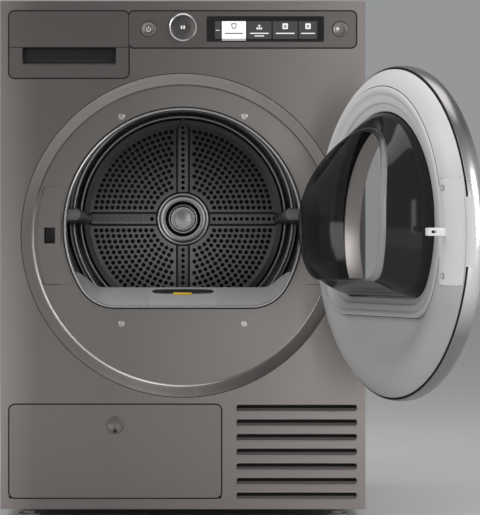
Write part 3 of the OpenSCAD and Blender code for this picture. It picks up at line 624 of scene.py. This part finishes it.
punches = []
for i in range(11):
    r = 62 + 10.25 * i
    spans = math.floor(5 + 1.5 * i)
    first = math.asin(21.4 / r)
    last = math.pi / 2 - math.asin((21.3 if i % 2 == 0 else 26.1) / r)
    for k in range(spans + 1):
        a = first + (last - first) * k / spans
        for sx in (-1, 1):
            for sz in (-1, 1):
                punches.append((sx * r * math.cos(a), sz * r * math.sin(a)))
for k in range(12):
    r = 58 + 10.3 * k
    punches += [(r, 0), (-r, 0), (0, r), (0, -r)]

sheet_lines = [punched(0, 0, 175.0, 128)] + [punched(x, z, 4.1) for x, z in punches]
plate = cut_sheet("drum_plate", sheet_lines, 0.0005, upright(0.5168))
drum_grey = steel("drum_back_steel", (0.17, 0.17, 0.172), 0.30, 500)
# The back's colour is painted lighter towards the bottom: painted light.
painted_low_light = drum_grey.ramp(drum_grey.axes()[2], 0.62, 0.36)
drum_grey.feed("Base Color", drum_grey.blend(painted_low_light, (0.13, 0.13, 0.132), (0.34, 0.34, 0.343)))
settle(plate, drum_grey, "drum", smooth=20)
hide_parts("drum_back")

ring_dark = steel("drum_ring_steel", (0.20, 0.20, 0.202), 0.26)
reach = ring_dark.from_axis(drum_z)[2]
ring_dark.feed("Base Color", ring_dark.blend(ring_dark.ramp(reach, 0.186, 0.190), (0.035, 0.035, 0.036),
                                             (0.22, 0.22, 0.222)))
turned("drum_outer_ring", [
    (172, 517.6), (174, 516.6), (184, 516.6), (186.5, 515.4), (189, 513.4), (192, 512.8), (195, 513.6),
    (197, 516), (201, 517.2), (206, 516.8), (209, 514.6), (212, 514.4), (215, 516.6), (222, 517.4),
    (232, 516.8), (238, 514.2), (243, 514.0), (247, 516.4), (262, 517.4), (283.6, 516.6)],
    ring_dark, "drum", 0, drum_z, count=160)
# A near-black dish just behind the drum's back: painted shadow seen through its holes.
behind = Finish("drum_hole_shadow", grey(0.004), 0.8).grain(60, 0.001, 0.4)
turned("drum_cavity_shadow", [(282, 519.5), (200, 521.5), (0, 523)], behind, "drum", 0, drum_z)


def around(line, turn):
    """Turns points about the hub."""
    c, s = math.cos(turn), math.sin(turn)
    return [(a * c - b * s, a * s + b * c) for a, b in line]


def bar_line(inner, outer, half, turn, neck):
    """Points of a channel that runs out from the hub, narrower past a neck where there is one."""
    line = [(inner, -half), (inner, half)]
    end = neck or outer
    line += [(end - 6, half), (end, half * 0.72)]
    if neck:
        line += [(neck + 5, 3.6), (outer, 3.6), (outer, -3.6), (neck + 5, -3.6)]
    line += [(end, -half * 0.72), (end - 6, -half)]
    return [(a, drum_z + b) for a, b in around(line, turn)]


for k in range(4):
    turn = math.radians(90 * k)
    neck, far = (174, 203) if k == 1 else (None, 176)
    walls = ((0, 13.2, 516.5), (0, 12.9, 513.9), (1, 12.0, 513.2), (1, 9.4, 513.4), (2, 8.9, 515.6))
    rings = [(bar_line(50, far - short, half, turn, neck), y) for short, half, y in walls]
    sweep(f"channel_wall_{k + 1}", rings, black, "drum")
    shapes = [[(50, -8.9), (far - 4, -8.9), (far - 4, 8.9), (50, 8.9)]]
    if neck:
        shapes = [[(50, -8.9), (neck - 6, -8.9), (neck, -6.2), (neck + 6, -3.2), (far - 2, -3.2),
                   (far - 2, 3.2), (neck + 6, 3.2), (neck, 6.2), (neck - 6, 8.9), (50, 8.9)]]
    shapes += [punched(58 + 10.3 * step, 0, 3.5) for step in range(12)]
    strip = cut_sheet(f"channel_floor_{k + 1}", [around(shape, turn) for shape in shapes], 0.0004,
                      upright(0.5150))
    settle(strip, drum_steel, "drum", smooth=20)

hub_steel = steel("hub_steel", grey(0.42), 0.24, 300)
turned("hub_dish", [
    (51, 515.5), (50, 513.2), (48.5, 512.2), (46, 512.0), (43, 513.2), (38, 514.6), (33, 514.0),
    (30, 511.0), (28.6, 507.6)], hub_steel, "drum", 0, drum_z)
turned("hub_cap", [
    (28.4, 509.0), (28.0, 505.8), (26.4, 504.4), (24.4, 504.2), (23.4, 505.0), (21, 505.6), (12, 504.6),
    (6, 503.9), (0, 503.8)], hub_steel, "drum", 0, drum_z)
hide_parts("drum_hub")


# Two lifters that tumble the laundry: hollow mouldings with a round crest, one at each side
# of the drum, screwed on from outside.
lifter_grey = Finish("lifter_plastic", (0.16, 0.16, 0.165), 0.34).patchy(0.28, 0.14, 60, 3)
lifter_grey.grain(700, 0.00006, 0.4)
for side, name in ((-1, "lifter_left"), (1, "lifter_right")):
    ring = []
    for i in range(13):
        a = math.radians(90 - 15 * i)
        ring.append((170 + 9.8 - 9.8 * math.cos(a), 10.6 * math.sin(a)))
    ring += [(230, -11.2), (262, -13), (281.5, -20), (281.5, 20), (262, 13), (230, 11.2)]
    line = [(side * a, drum_z + b) for a, b in ring]
    rings = [([(x if abs(x) > 275 else x + side * inset, drum_z + (z - drum_z) * (1 - inset / 40))
               for x, z in line], y)
             for inset, y in ((7, 95), (2, 97), (0, 102), (0, 300), (0, 482), (2, 487), (7, 489))]
    sweep(name, rings, lifter_grey, "drum", ends=(True, True))
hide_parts("drum_lifters")


# Control strip: a painted plastic moulding let into the front sheet, with a thin dark gap
# all round it. A power key and a start key sit in round holes.
strip_paint = lacquer("strip_paint", (0.160, 0.147, 0.140), 0.34, 0.85, 0.25)
cad("control_fascia", strip_paint, 0.0006)
for name, x, z, wide, high, r in (("strip_gap", -88, 774.4, 370, 58.6, 8),
                                  ("drawer_gap", -283, 725, 194, 108, 8),
                                  ("flap_gap", -283, 40.4, 345, 151.3, 9)):
    rings = [(round_tile(x - k, z - k, wide + 2 * k, high + 2 * k, r + k), y)
             for k, y in ((2.3, -0.1), (1.0, -0.12), (0.95, 0.6), (-0.7, 0.7))]
    sweep(name, rings, gap_and_shade_black, "cabinet")
key_finish = lacquer("key_finish", (0.235, 0.216, 0.205), 0.28, 0.85, 0.0)
# The white print is given a faint white glow: painted light.
glowing_mark_white = Finish("printed_mark_glow", (0.75, 0.75, 0.74), 0.5, **{"Emission Strength": 0.25})
glowing_mark_white.shader.inputs["Emission Color"].default_value = (1, 1, 1, 1)
glowing_mark_white.patchy(0.42, 0.16, 500, 2)
key_z = 804.5
for name, node, body, x in (("power_key", "power_button", "power_key", -56.2),
                            ("start_key", "start_button", "start_key", 256.0)):
    turned(name, [
        (12.3, 3.8), (12.3, -1.0), (12.0, -1.9), (11.2, -2.25), (10.2, -2.2), (9.4, -1.7), (6, -1.45),
        (0, -1.4)], key_finish, body, x, key_z, count=64)
    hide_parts(node)


def arc_mark(name, x, z, y, r, wide, start, through, body, finish, count=24):
    """A thin flat arc laid on a face, such as a printed mark."""
    angles = [start + through * i / count for i in range(count + 1)]
    near, far = r - wide / 2, r + wide / 2
    ring = [(x + near * math.sin(a), z + near * math.cos(a)) for a in angles]
    ring += [(x + far * math.sin(a), z + far * math.cos(a)) for a in reversed(angles)]
    return slab(name, ring, y, 0.15, finish, body)


def tile_mark(name, x, z, wide, high, r, y, body, finish, thick=0.15):
    """A flat tile laid on a face."""
    return slab(name, round_tile(x, z, wide, high, r, 3), y, thick, finish, body)


arc_mark("power_mark_ring", -56.2, 804.0, -1.65, 3.4, 0.9, math.radians(38), math.radians(284), "power_key",
         glowing_mark_white)
tile_mark("power_mark_bar", -56.65, 804.2, 0.9, 4.6, 0.4, -1.65, "power_key", glowing_mark_white)
slab("start_mark_arrow", [(250.6, 801.6), (250.6, 807.6), (255.4, 804.6)], -1.65, 0.15, glowing_mark_white,
     "start_key")
for i, x in enumerate((257.2, 259.4)):
    tile_mark(f"start_mark_bar_{i + 1}", x, 802.0, 1.1, 5.2, 0.4, -1.65, "start_key", key_finish)

# Dial: a turned aluminium knob with a polished rim round a brushed face that has two
# short white bars printed at its middle.
rim_bright = steel("dial_rim_metal", (0.78, 0.77, 0.76), 0.22, 700)
turned("dial_rim", [
    (22.4, -1.0), (23, -2), (23, -10.4), (22.4, -12.2), (21.2, -13.0), (20.2, -12.9), (19.3, -12.0),
    (19.0, -11.0)], rim_bright, "programme_dial", 0, 806)
face_metal = Finish("dial_face_metal", (0.12, 0.112, 0.106), 0.32, 0.9)
rings = face_metal.noise(1800, 2)
face_metal.feed("Roughness", 0.26 + 0.14 * rings)
face_metal.bump(rings, 0.00004, 0.4)
turned("dial_face", [
    (19.2, -10.8), (18.8, -11.5), (18.0, -11.8), (9, -11.6), (0, -11.5)],
    face_metal, "programme_dial", 0, 806)
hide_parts("dial")
tile_mark("dial_pointer_left", -3.6, 803.2, 2.6, 5.6, 0.8, -12.1, "programme_dial", glowing_mark_white)
tile_mark("dial_pointer_right", 0.6, 803.2, 2.6, 5.6, 0.8, -12.1, "programme_dial", glowing_mark_white)

# Display: a black glass window over a colour screen that shows a row of programme tiles,
# the first of them chosen.
window_black = Finish("display_glass", grey(0.004), 0.06,
                      **{"Coat Weight": 0.5, "Coat Roughness": 0.03})
window_black.patchy(0.04, 0.05, 120, 2)
cad("display_glass", window_black, 0.0006, 2)


def screen_finish(name, color, glow):
    made = Finish(name, color, 0.35, **{"Emission Strength": glow})
    made.feed("Emission Color", made.blend(made.noise(900, 1), color, tuple(c * 0.9 for c in color)))
    return made


tile_white = screen_finish("tile_white", grey(0.86), 0.55)
tile_grey = screen_finish("tile_grey", grey(0.035), 0.6)
glyph_light = screen_finish("glyph_light", grey(0.62), 0.8)
glyph_dark = screen_finish("glyph_dark", grey(0.06), 0.1)
tile_foot, mark_y, inner_y = 788.4, -1.15, -1.25


def screen_mark(name, x, z, wide, high, r, finish, y=mark_y):
    """A lit mark on the screen."""
    return tile_mark(name, x, z, wide, high, r, y, "cabinet", finish)


tiles = ((52.0, 9.6), (63.4, 39.2), (104.6, 39.6), (146.4, 40.4), (189.0, 29.6))
for i, (x, wide) in enumerate(tiles):
    chosen = i == 1
    ground, glyph = (tile_white, glyph_dark) if chosen else (tile_grey, glyph_light)
    middle = x + wide / 2
    screen_mark(f"screen_tile_{i + 1}", x, tile_foot, wide, 28.6, 0.8, ground, -0.95)
    if i:
        screen_mark(f"tile_words_{i + 1}", x + wide * 0.12, 796.4, wide * 0.76, 1.7, 0.5, glyph)
    if i == 2:
        screen_mark("tile_words_3b", x + wide * 0.3, 792.2, wide * 0.4, 1.6, 0.5, glyph)
        for k in range(3):
            screen_mark(f"tile_3_icon_{k + 1}", middle - 4.6 + 3.3 * k, 803.6, 2.5, 3.4, 0.5, glyph)
        screen_mark("tile_3_icon_top", middle - 1.8, 808.4, 3.6, 2.6, 0.6, glyph)
    elif chosen:
        half = [(4.2, 813.6), (4.2, 809), (2.6, 805.6)]
        shield = [(middle - 4.2, 813.6)] + [(middle + a, b) for a, b in half] + [(middle, 803.8)]
        shield += [(middle - a, b) for a, b in reversed(half[1:])]
        slab("tile_2_icon", shield, mark_y, 0.15, glyph, "cabinet")
        inner = [(middle + (a - middle) * 0.66, 809 + (b - 809) * 0.66) for a, b in shield]
        slab("tile_2_icon_inside", inner, inner_y, 0.15, ground, "cabinet")
    elif i > 2:
        screen_mark(f"tile_{i + 1}_icon", middle - 4.4, 804.2, 8.8, 9.4, 1.4, glyph)
        arc_mark(f"tile_{i + 1}_drum", middle, 808.6, inner_y, 1.5, 1.4, 0, math.tau * 0.98, "cabinet",
                 tile_grey, 16)
screen_mark("screen_dash", 53.4, 801.8, 6.2, 1.0, 0.3, glyph_light)
screen_mark("screen_chosen", 63.4, 785.9, 39.2, 1.2, 0.4, glyph_light)

# Tank drawer: a painted front on a water tank. Its grip is a black well below a parting
# line that carries on the lower edge of the control strip.
cad("drawer_front", strip_paint, 0.0006)
well = [(round_tile(-262 + k, 745.4 + f, 153 - 2 * k, 29.0 - f - t, 1.6), y)
        for k, f, t, y in ((0.1, 0.1, 0.1, -0.65), (0.8, 1.2, 0.2, -0.7), (1.4, 3.0, 0.3, 3.0),
                           (1.8, 6.6, 0.4, 12.0), (2.2, 7.4, 0.5, 20.6))]
well_black = Finish("well_black", (0.014, 0.013, 0.013), 0.34)
# The well is darker at the top and painted lighter towards its foot: painted light on the grip's lower lip.
well_black.feed("Base Color", well_black.blend(well_black.ramp(well_black.axes()[2], 0.757, 0.746),
                                               grey(0.005), (0.085, 0.080, 0.077)))
well_black.grain(900, 0.00005, 0.3)
sweep("grip_well", well, well_black, "tank_drawer", ends=(False, True), flip=True)
tile_mark("parting_line", -282.6, 773.9, 193.2, 1.2, 0.3, -0.62, "tank_drawer", gap_and_shade_black, 0.1)
tank_white = Finish("tank_plastic", (0.70, 0.72, 0.72), 0.42).mottle(9, 3, (0.62, 0.65, 0.66))
tank_white.grain(500, 0.00008, 0.4)
cad("water_tank", tank_white, 0.0015)
cad("tank_chute", black)

# Service flap: a painted moulding over the heat exchanger, hinged at its foot and held shut
# by a quarter-turn knob with a coin slot.
flap_paint = lacquer("flap_paint", (0.200, 0.184, 0.174), 0.33, 0.85, 0.6)
cad("service_flap", flap_paint, 0.0008)
knob_x, knob_z = -110.7, 158.7
turned("flap_knob_head", [
    (9.6, 5.8), (9.6, -0.9), (14.2, -0.95), (14.2, -1.6), (13.4, -2.7), (11.8, -3.1), (10.2, -2.5),
    (8.6, -1.5), (0, -1.3)], flap_paint, "flap_lock", knob_x, knob_z, count=64)
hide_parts("flap_knob")
# A dark slab on the knob's lower middle: painted shade.
knob_shade_points = [(knob_x + a, knob_z + b) for a, b in
         ((-2.7, -12.4), (2.7, -12.4), (2.1, -7.4), (0, -6.2), (-2.1, -7.4))]
slab("flap_knob_shade", knob_shade_points, -3.15, 1.95, gap_and_shade_black, "flap_lock")

# Feet: glass-filled plastic pads on threaded stems, screwed into the base at its four
# corners so that the machine can be levelled.
foot_white = Finish("foot_plastic", (0.52, 0.52, 0.51), 0.5).mottle(120, 3, (0.42, 0.42, 0.41))
foot_white.grain(600, 0.0001, 0.5)
for part in ("foot_front_left", "foot_front_right", "foot_rear_left", "foot_rear_right"):
    cad(part, foot_white, 0.0012, 3)

# Base tray and air ducts: black moulded polypropylene with a fine grained surface, clipped
# and screwed together round the heat exchanger and the fan.
tray = Finish("duct_plastic", (0.030, 0.030, 0.031), 0.5).mottle(40, 3, (0.045, 0.045, 0.046))
tray.grain(700, 0.0001, 0.5, 3)
for part in ("base_tray", "filter_duct", "fan_housing", "rear_duct", "exchanger_cover", "fan_wheel"):
    cad(part, tray, 0.0006, 2)

# Drive: a black enamelled motor with a turned steel shaft, a grooved belt, and small wheels
# of hard plastic. Felt rings seal the drum at both ends.
enamel = Finish("black_enamel", (0.020, 0.021, 0.023), 0.32, **{"Coat Weight": 0.3, "Coat Roughness": 0.2})
enamel.mottle(30, 3, (0.034, 0.034, 0.036)).grain(260, 0.0002, 0.3)
for part in ("motor", "compressor"):
    cad(part, enamel, 0.001, 2)
rubber = Finish("belt_rubber", grey(0.018), 0.62)
rubber.bump(rubber.math("SINE", rubber.axes()[1] * 2600), 0.0004, 0.8)
rubber.mottle(200, 2, grey(0.03))
for part in ("drive_belt", "mains_inlet"):
    cad(part, rubber)
for part in ("roller_left", "roller_right"):
    cad(part, foot_white, 0.001, 2)
cad("tensioner_pulley", black, 0.0006, 2)
cad("motor_shaft", steel("shaft_steel", (0.56, 0.56, 0.57), 0.26), 0.0004, 2)
felt = Finish("felt", (0.62, 0.60, 0.53), 0.95, **{"Sheen Weight": 0.4}).mottle(700, 4, (0.50, 0.48, 0.42))
felt.grain(1500, 0.0006, 0.9, 4)
cad("felt_seals", felt)

# Heat pump: blocks of thin aluminium fins on copper tubes, and bare copper pipes that have
# darkened where they were brazed.
for part, color in (("evaporator", (0.60, 0.61, 0.63)), ("condenser", (0.56, 0.53, 0.48))):
    fins = Finish(part + "_fins", color, 0.36, 0.9).mottle(50, 3, tuple(c * 0.72 for c in color))
    fins.bump(fins.math("SINE", fins.axes()[2] * 900), 0.0004, 0.5)
    cad(part, fins)
copper = Finish("copper", (0.66, 0.33, 0.20), 0.30, 1.0)
copper.tint(copper.ramp(copper.noise(24, 4), 0.4, 0.7), (0.34, 0.16, 0.10))
copper.patchy(0.22, 0.24, 60, 3)
cad("refrigerant_pipes", copper)


# Door ring: a brushed stainless band round the door, rolled over to its outer face, with a
# dark gap between it and the white liner.
hinge_pin = Vector((0.247, -0.027, 0))
door_swing = math.radians(110.9)
lug_side, lug_half = 204.5, 43.5  # where the hinge's pocket starts across, and half its height


def hang(piece):
    """Swings a piece, made where it sits with the door shut, out to where the door stands open."""
    pick(piece)
    piece.matrix_world = (Matrix.Translation(hinge_pin) @ Matrix.Rotation(door_swing, 4, "Z") @
                          Matrix.Translation(-hinge_pin))
    bpy.ops.object.transform_apply()
    return piece


def hinge_cut(piece):
    """Cuts the pocket for the hinge's two lugs out of a door piece that still sits closed."""
    shape = bmesh.new()
    shape.from_mesh(piece.data)
    side, low, high = lug_side / 1000, (door_z - lug_half) / 1000, (door_z + lug_half) / 1000
    for spot, normal in (((0, 0, low), (0, 0, 1)), ((0, 0, high), (0, 0, 1)), ((side, 0, 0), (1, 0, 0))):
        bmesh.ops.bisect_plane(shape, geom=shape.verts[:] + shape.edges[:] + shape.faces[:], plane_co=spot,
                               plane_no=normal)
    middles = [(f, f.calc_center_median()) for f in shape.faces]
    gone = [f for f, middle in middles if middle.x > side and low < middle.z < high]
    bmesh.ops.delete(shape, geom=gone, context="FACES")
    shape.to_mesh(piece.data)
    shape.free()
    return piece


band = Finish("brushed_steel", (0.62, 0.61, 0.60), 0.25, 1.0)
# The band's colour is painted light near the door's middle height and dark above and below it: a painted
# reflection.
height = band.axes()[2] + 0.012 * band.noise(3, 2)
sheen = band.ramp(band.math("ABSOLUTE", height - 0.475), 0.085, 0.15)
band.feed("Base Color", band.blend(sheen, (0.80, 0.79, 0.78), (0.30, 0.29, 0.285)))
grain = band.noise(700, 2)
band.feed("Roughness", 0.25 + 0.06 * grain)
band.bump(grain, 0.00001, 0.12)
hang(hinge_cut(turned("door_band", [
    (248.6, -6.0), (248.9, -2.8), (249.6, -2.2), (250.5, -2.6), (251.2, -4.4), (252.2, -9), (252.5, -15),
    (251.8, -20.5), (249.4, -25.6), (245.4, -29.6), (240, -32.5), (234, -33.8), (230.6, -34.0), (230.6, -31)],
    band, "door", 0, door_z, count=192)))
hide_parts("door_ring")
hang(hinge_cut(turned("door_gap", [
    (246.4, 0.2), (247.2, -3.2), (249.2, -3.4), (249.2, -8)],
    gap_and_shade_black, "door", 0, door_z, count=160)))

# Door liner: a white moulded dish that domes up from the ring to a plinth with a flat foot,
# with a shallow scoop below it. The plinth's lip meets the seal of the loading opening.
liner = Finish("door_liner_white", (0.70, 0.70, 0.69), 0.40,
               **{"Coat Weight": 0.08, "Coat Roughness": 0.4})
liner.grain(900, 0.00005, 0.3)
# The liner's colour is painted lighter towards the top and darker towards the bottom: painted light from
# above.
painted_top_light = liner.ramp(liner.axes()[2], 0.36, 0.60)
liner.feed("Base Color", liner.blend(painted_top_light, (0.44, 0.44, 0.435), (0.78, 0.78, 0.77)))
liner.patchy(0.34, 0.12, 60, 3)


def soft(t):
    t = min(max(t, 0.0), 1.0)
    return t * t * (3 - 2 * t)


def dome(x, z):
    """Height of the liner's surface, with the scoop below the plinth."""
    r = math.hypot(x, z - door_z)
    t = min(max((247 - r) / 40, 0.0), 1.0)
    y = 0.4 + 20.1 * (1 - (1 - t) ** 2.3)
    if z < 420:
        y -= 9.0 * soft((206 - r) / 34) * soft((420 - z) / 70)
    return y


def plinth_line(m):
    """Points round the plinth, set in by a distance from its outer line."""
    return d_line(207 - m, 138 - 29 * m / 38, 76 - 26 * m / 38)


outer_line = circle_line(246.6, 160, 0, door_z)
foot_line = plinth_line(-0.6)


def part_way(start, end, step):
    """Points that lie a share of the way from one line to another."""
    return [(a[0] + (b[0] - a[0]) * step, a[1] + (b[1] - a[1]) * step) for a, b in zip(start, end)]


rings = [(outer_line, -3.0)]
rings += [(part_way(outer_line, foot_line, step), dome)
          for step in (0, 0.04, 0.1, 0.17, 0.25, 0.35, 0.46, 0.58, 0.7, 0.8, 0.9, 1.0)]
hang(hinge_cut(sweep("door_dish", rings, liner, "door", smooth=50)))
pocket = [(lug_side, door_z - lug_half), (lug_side, door_z + lug_half), (248.5, door_z + lug_half),
          (248.5, door_z - lug_half)]
hang(sweep("hinge_pocket", [(pocket, dome), (pocket, -20.0)], liner, "door",
           ends=(False, True), flip=True))
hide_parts("door_frame")
steps = [(-0.6, lambda x, z: dome(x, z) - 1.0), (0.0, lambda x, z: dome(x, z) + 0.1), (0.7, 20.8), (1.6, 21.5),
         (3.2, 21.8), (6.5, 21.8), (9.0, 21.0), (11.0, 19.4), (12.6, 17.9), (15.6, 17.4), (23, 17.0),
         (24.6, 16.2), (25.4, 14.4), (26.8, 13.5), (34.6, 12.6), (36.8, 11.6), (37.6, 9.8), (37.8, -2.0)]
hang(sweep("door_plinth", [(plinth_line(m), y) for m, y in steps], liner, "door", smooth=40))
# A thin near-black strip round the plinth's foot: painted shade in the crease between plinth and dome.
hang(sweep("plinth_groove_shadow", [(plinth_line(m), lambda x, z, k=k: dome(x, z) + k) for m, k in
                             ((-1.3, 0.12), (-0.3, 0.16))], shade, "door"))


# Door bowl: a deep glass dish whose curved end pushes the laundry back into the drum. Its
# walls look dark and glossy, and its end is clear.
def tinted(name, color, base, glance, rough=0.04):
    made = Finish(name, color, rough, 0.0, **{"Specular IOR Level": 0.25})
    facing = made.node("LayerWeight", out=1, Blend=0.35)
    made.feed("Alpha", base + glance * facing)
    made.feed("Roughness", rough + 0.03 * made.noise(30, 2))
    return made


# The walls are given a near-opaque black: painted dark reflection.
wall_glass = tinted("bowl_wall_glass", grey(0.006), 0.965, 0.035, 0.10)
clear_glass = tinted("clear_glass", grey(0.012), 0.05, 0.14)
edge_glass = tinted("bowl_edge_glass", grey(0.30), 0.86, 0.14, 0.12)
# The bowl's rim is painted lighter grey towards the front, a painted highlight, and near black further back.
edge_glass.feed("Base Color", edge_glass.blend(edge_glass.ramp(edge_glass.axes()[1], -0.34, -0.41),
                                               grey(0.012), grey(0.30)))
base_line = d_line(168.6, 108.6, 50)


def bowl_end(x, z):
    """Depth of the bowl's curved end."""
    up = z - mouth_z
    return 86 - 36 * (max(up, 0) / 129) ** 2 - 7 * (min(up, 0) / 84) ** 2


def end_line(k):
    """Points round the bowl's end, drawn in by a share."""
    return [(x * 0.870 * k, mouth_z + (z - mouth_z) * (0.858 if z > mouth_z else 0.773) * k)
            for x, z in base_line]


def with_depths(points, depths):
    """A ring whose depth is given point by point."""
    table = dict(zip(points, depths))
    return points, lambda x, z: table[(x, z)]


tip = end_line(1.0)
rings = [(base_line, -4.0), ([(x * 0.997, mouth_z + (z - mouth_z) * 0.997) for x, z in base_line], 10.0)]
for step in (0.12, 0.26, 0.42, 0.58, 0.74, 0.88, 1.0):
    swell = 1 + 0.035 * math.sin(math.pi * step)
    points = [(x * swell, mouth_z + (z - mouth_z) * swell) for x, z in part_way(base_line, tip, step)]
    rings.append(with_depths(points, [10 + (bowl_end(*b) - 9 - 10) * step for b in tip]))


hang(sweep("bowl_wall", rings, wall_glass, "door", smooth=60))
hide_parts("door_bowl")
rings = [with_depths(end_line(k), [bowl_end(*b) - fall for b in tip]) for k, fall in
         ((1.0, 9.0), (1.004, 6.0), (1.0, 3.2), (0.99, 1.2), (0.972, 0.2), (0.955, 0.0))]
hang(sweep("bowl_edge", rings, edge_glass, "door", smooth=60))
rings = [(end_line(k), bowl_end) for k in (0.955, 0.8, 0.6, 0.4, 0.2, 0.05)]
hang(sweep("bowl_end_face", rings, clear_glass, "door", ends=(False, True), smooth=60))

# Outer window: a slightly domed clear pane, held by a lacquered plastic ring that is
# clipped into the door's steel band.
hang(turned("outer_window", [
    (182, -30.6), (181, -31.6), (172, -32.8), (120, -33.8), (60, -34.3), (0, -34.5)],
    clear_glass, "door", 0, door_z, count=128))
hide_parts("door_window")
door_paint = lacquer("door_paint", warm_grey)
hang(turned("door_face", [
    (230.4, -30), (230.4, -33.6), (229.6, -34.4), (200, -35.4), (174, -35.2), (172.4, -34.6), (172, -33),
    (172, -8), (170.5, -6)], door_paint, "door", 0, door_z, count=160))
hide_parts("door_cover")

# Lock cover: a white insert in the liner, held by two screws, that carries the latch hook.
# A finger grip is cut in the ring beside it.
cover_white = Finish("lock_cover_white", (0.72, 0.72, 0.71), 0.42).grain(800, 0.00005, 0.3)
cover_white.patchy(0.38, 0.1, 80, 2)
cover_rim, cover_inner, cover_half = 245.6, -203.5, 75.2


def rim_x(z):
    """Where the liner's round edge lies across, at a height from the door's axis."""
    return -math.sqrt(cover_rim ** 2 - z ** 2)


def cover_point(u, v):
    """A point of the insert: a flat face that falls away to the ring."""
    up = cover_half * v
    x = rim_x(up) + (cover_inner - rim_x(up)) * (u + 1) / 2
    slope = 1.2 + 20.2 * (1 - (1 - min(max((x - rim_x(up)) / 29, 0), 1)) ** 1.7)
    return x, min(20.8, slope), door_z + up


cover = shaped_sheet("lock_cover_front", 26, 20, cover_point, 0.0016, 0)
settle(cover, cover_white, "door", smooth=28)
hang(cover)
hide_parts("lock_cover")
joint_x = rim_x(75.9) + 1
for word, z in (("foot", door_z - 75.9), ("top", door_z + 75.9)):
    line = [(joint_x, z - 0.35), (-204, z - 0.35), (-204, z + 0.35), (joint_x, z + 0.35)]
    hang(sweep(f"lock_cover_joint_{word}", [(line, lambda a, b: dome(a, b) - 1.5),
                                            (line, lambda a, b: dome(a, b) + 0.5)],
               gap_and_shade_black, "door", ends=(True, True)))
screw_steel = steel("screw_steel", grey(0.36), 0.3)
for i, sign in enumerate((-1, 1)):
    head = [(4.6, 21.0), (4.3, 21.9), (3.6, 22.0), (3.3, 21.0), (1.2, 20.9), (0, 20.9)]
    hang(turned(f"lock_screw_{i + 1}", head, screw_steel, "door", -212, door_z + sign * 62,
                count=24))
hook_white = Finish("hook_white", (0.80, 0.80, 0.79), 0.3).patchy(0.26, 0.1, 200, 2)
hook_lines = [[(15, -5.2), (36, -5.2), (49, -5.0), (49.6, -4.2), (49.6, 4.2), (49, 5.0), (36, 5.2), (15, 5.2)],
              [(35.5, -2.6), (35.5, 2.6), (44, 2.6), (44, -2.6)]]
on_edge = Matrix(((0, 0, 1, 0), (1, 0, 0, 0), (0, 1, 0, 0), (0, 0, 0, 1)))
hook = cut_sheet("latch_hook", hook_lines, 0.0028,
                 Matrix.Translation((-0.219, 0, door_z / 1000)) @ on_edge, 0.0006)
settle(hook, hook_white, "door")
hang(hook)
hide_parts("door_hook")
grip_profile = ((246.9, 0.9), (249.3, -0.8), (251.4, -3.0), (252.5, -6.0), (252.75, -9.0))
grip_reach = 0.198  # half the grip's angle on the ring, in radians


def grip_point(u, v):
    """A point of the grip, along the ring and across its profile."""
    r, y = grip_profile[round((v + 1) * 2)]
    a = grip_reach * u
    return -r * math.cos(a), y, door_z + r * math.sin(a)


grip = shaped_sheet("finger_grip", 16, 4, grip_point, 0.0012)
settle(grip, cover_white, "door", smooth=30)
hang(grip)
cad("hinge_arm", steel("hinge_steel", grey(0.45), 0.35), 0.0006, 2)
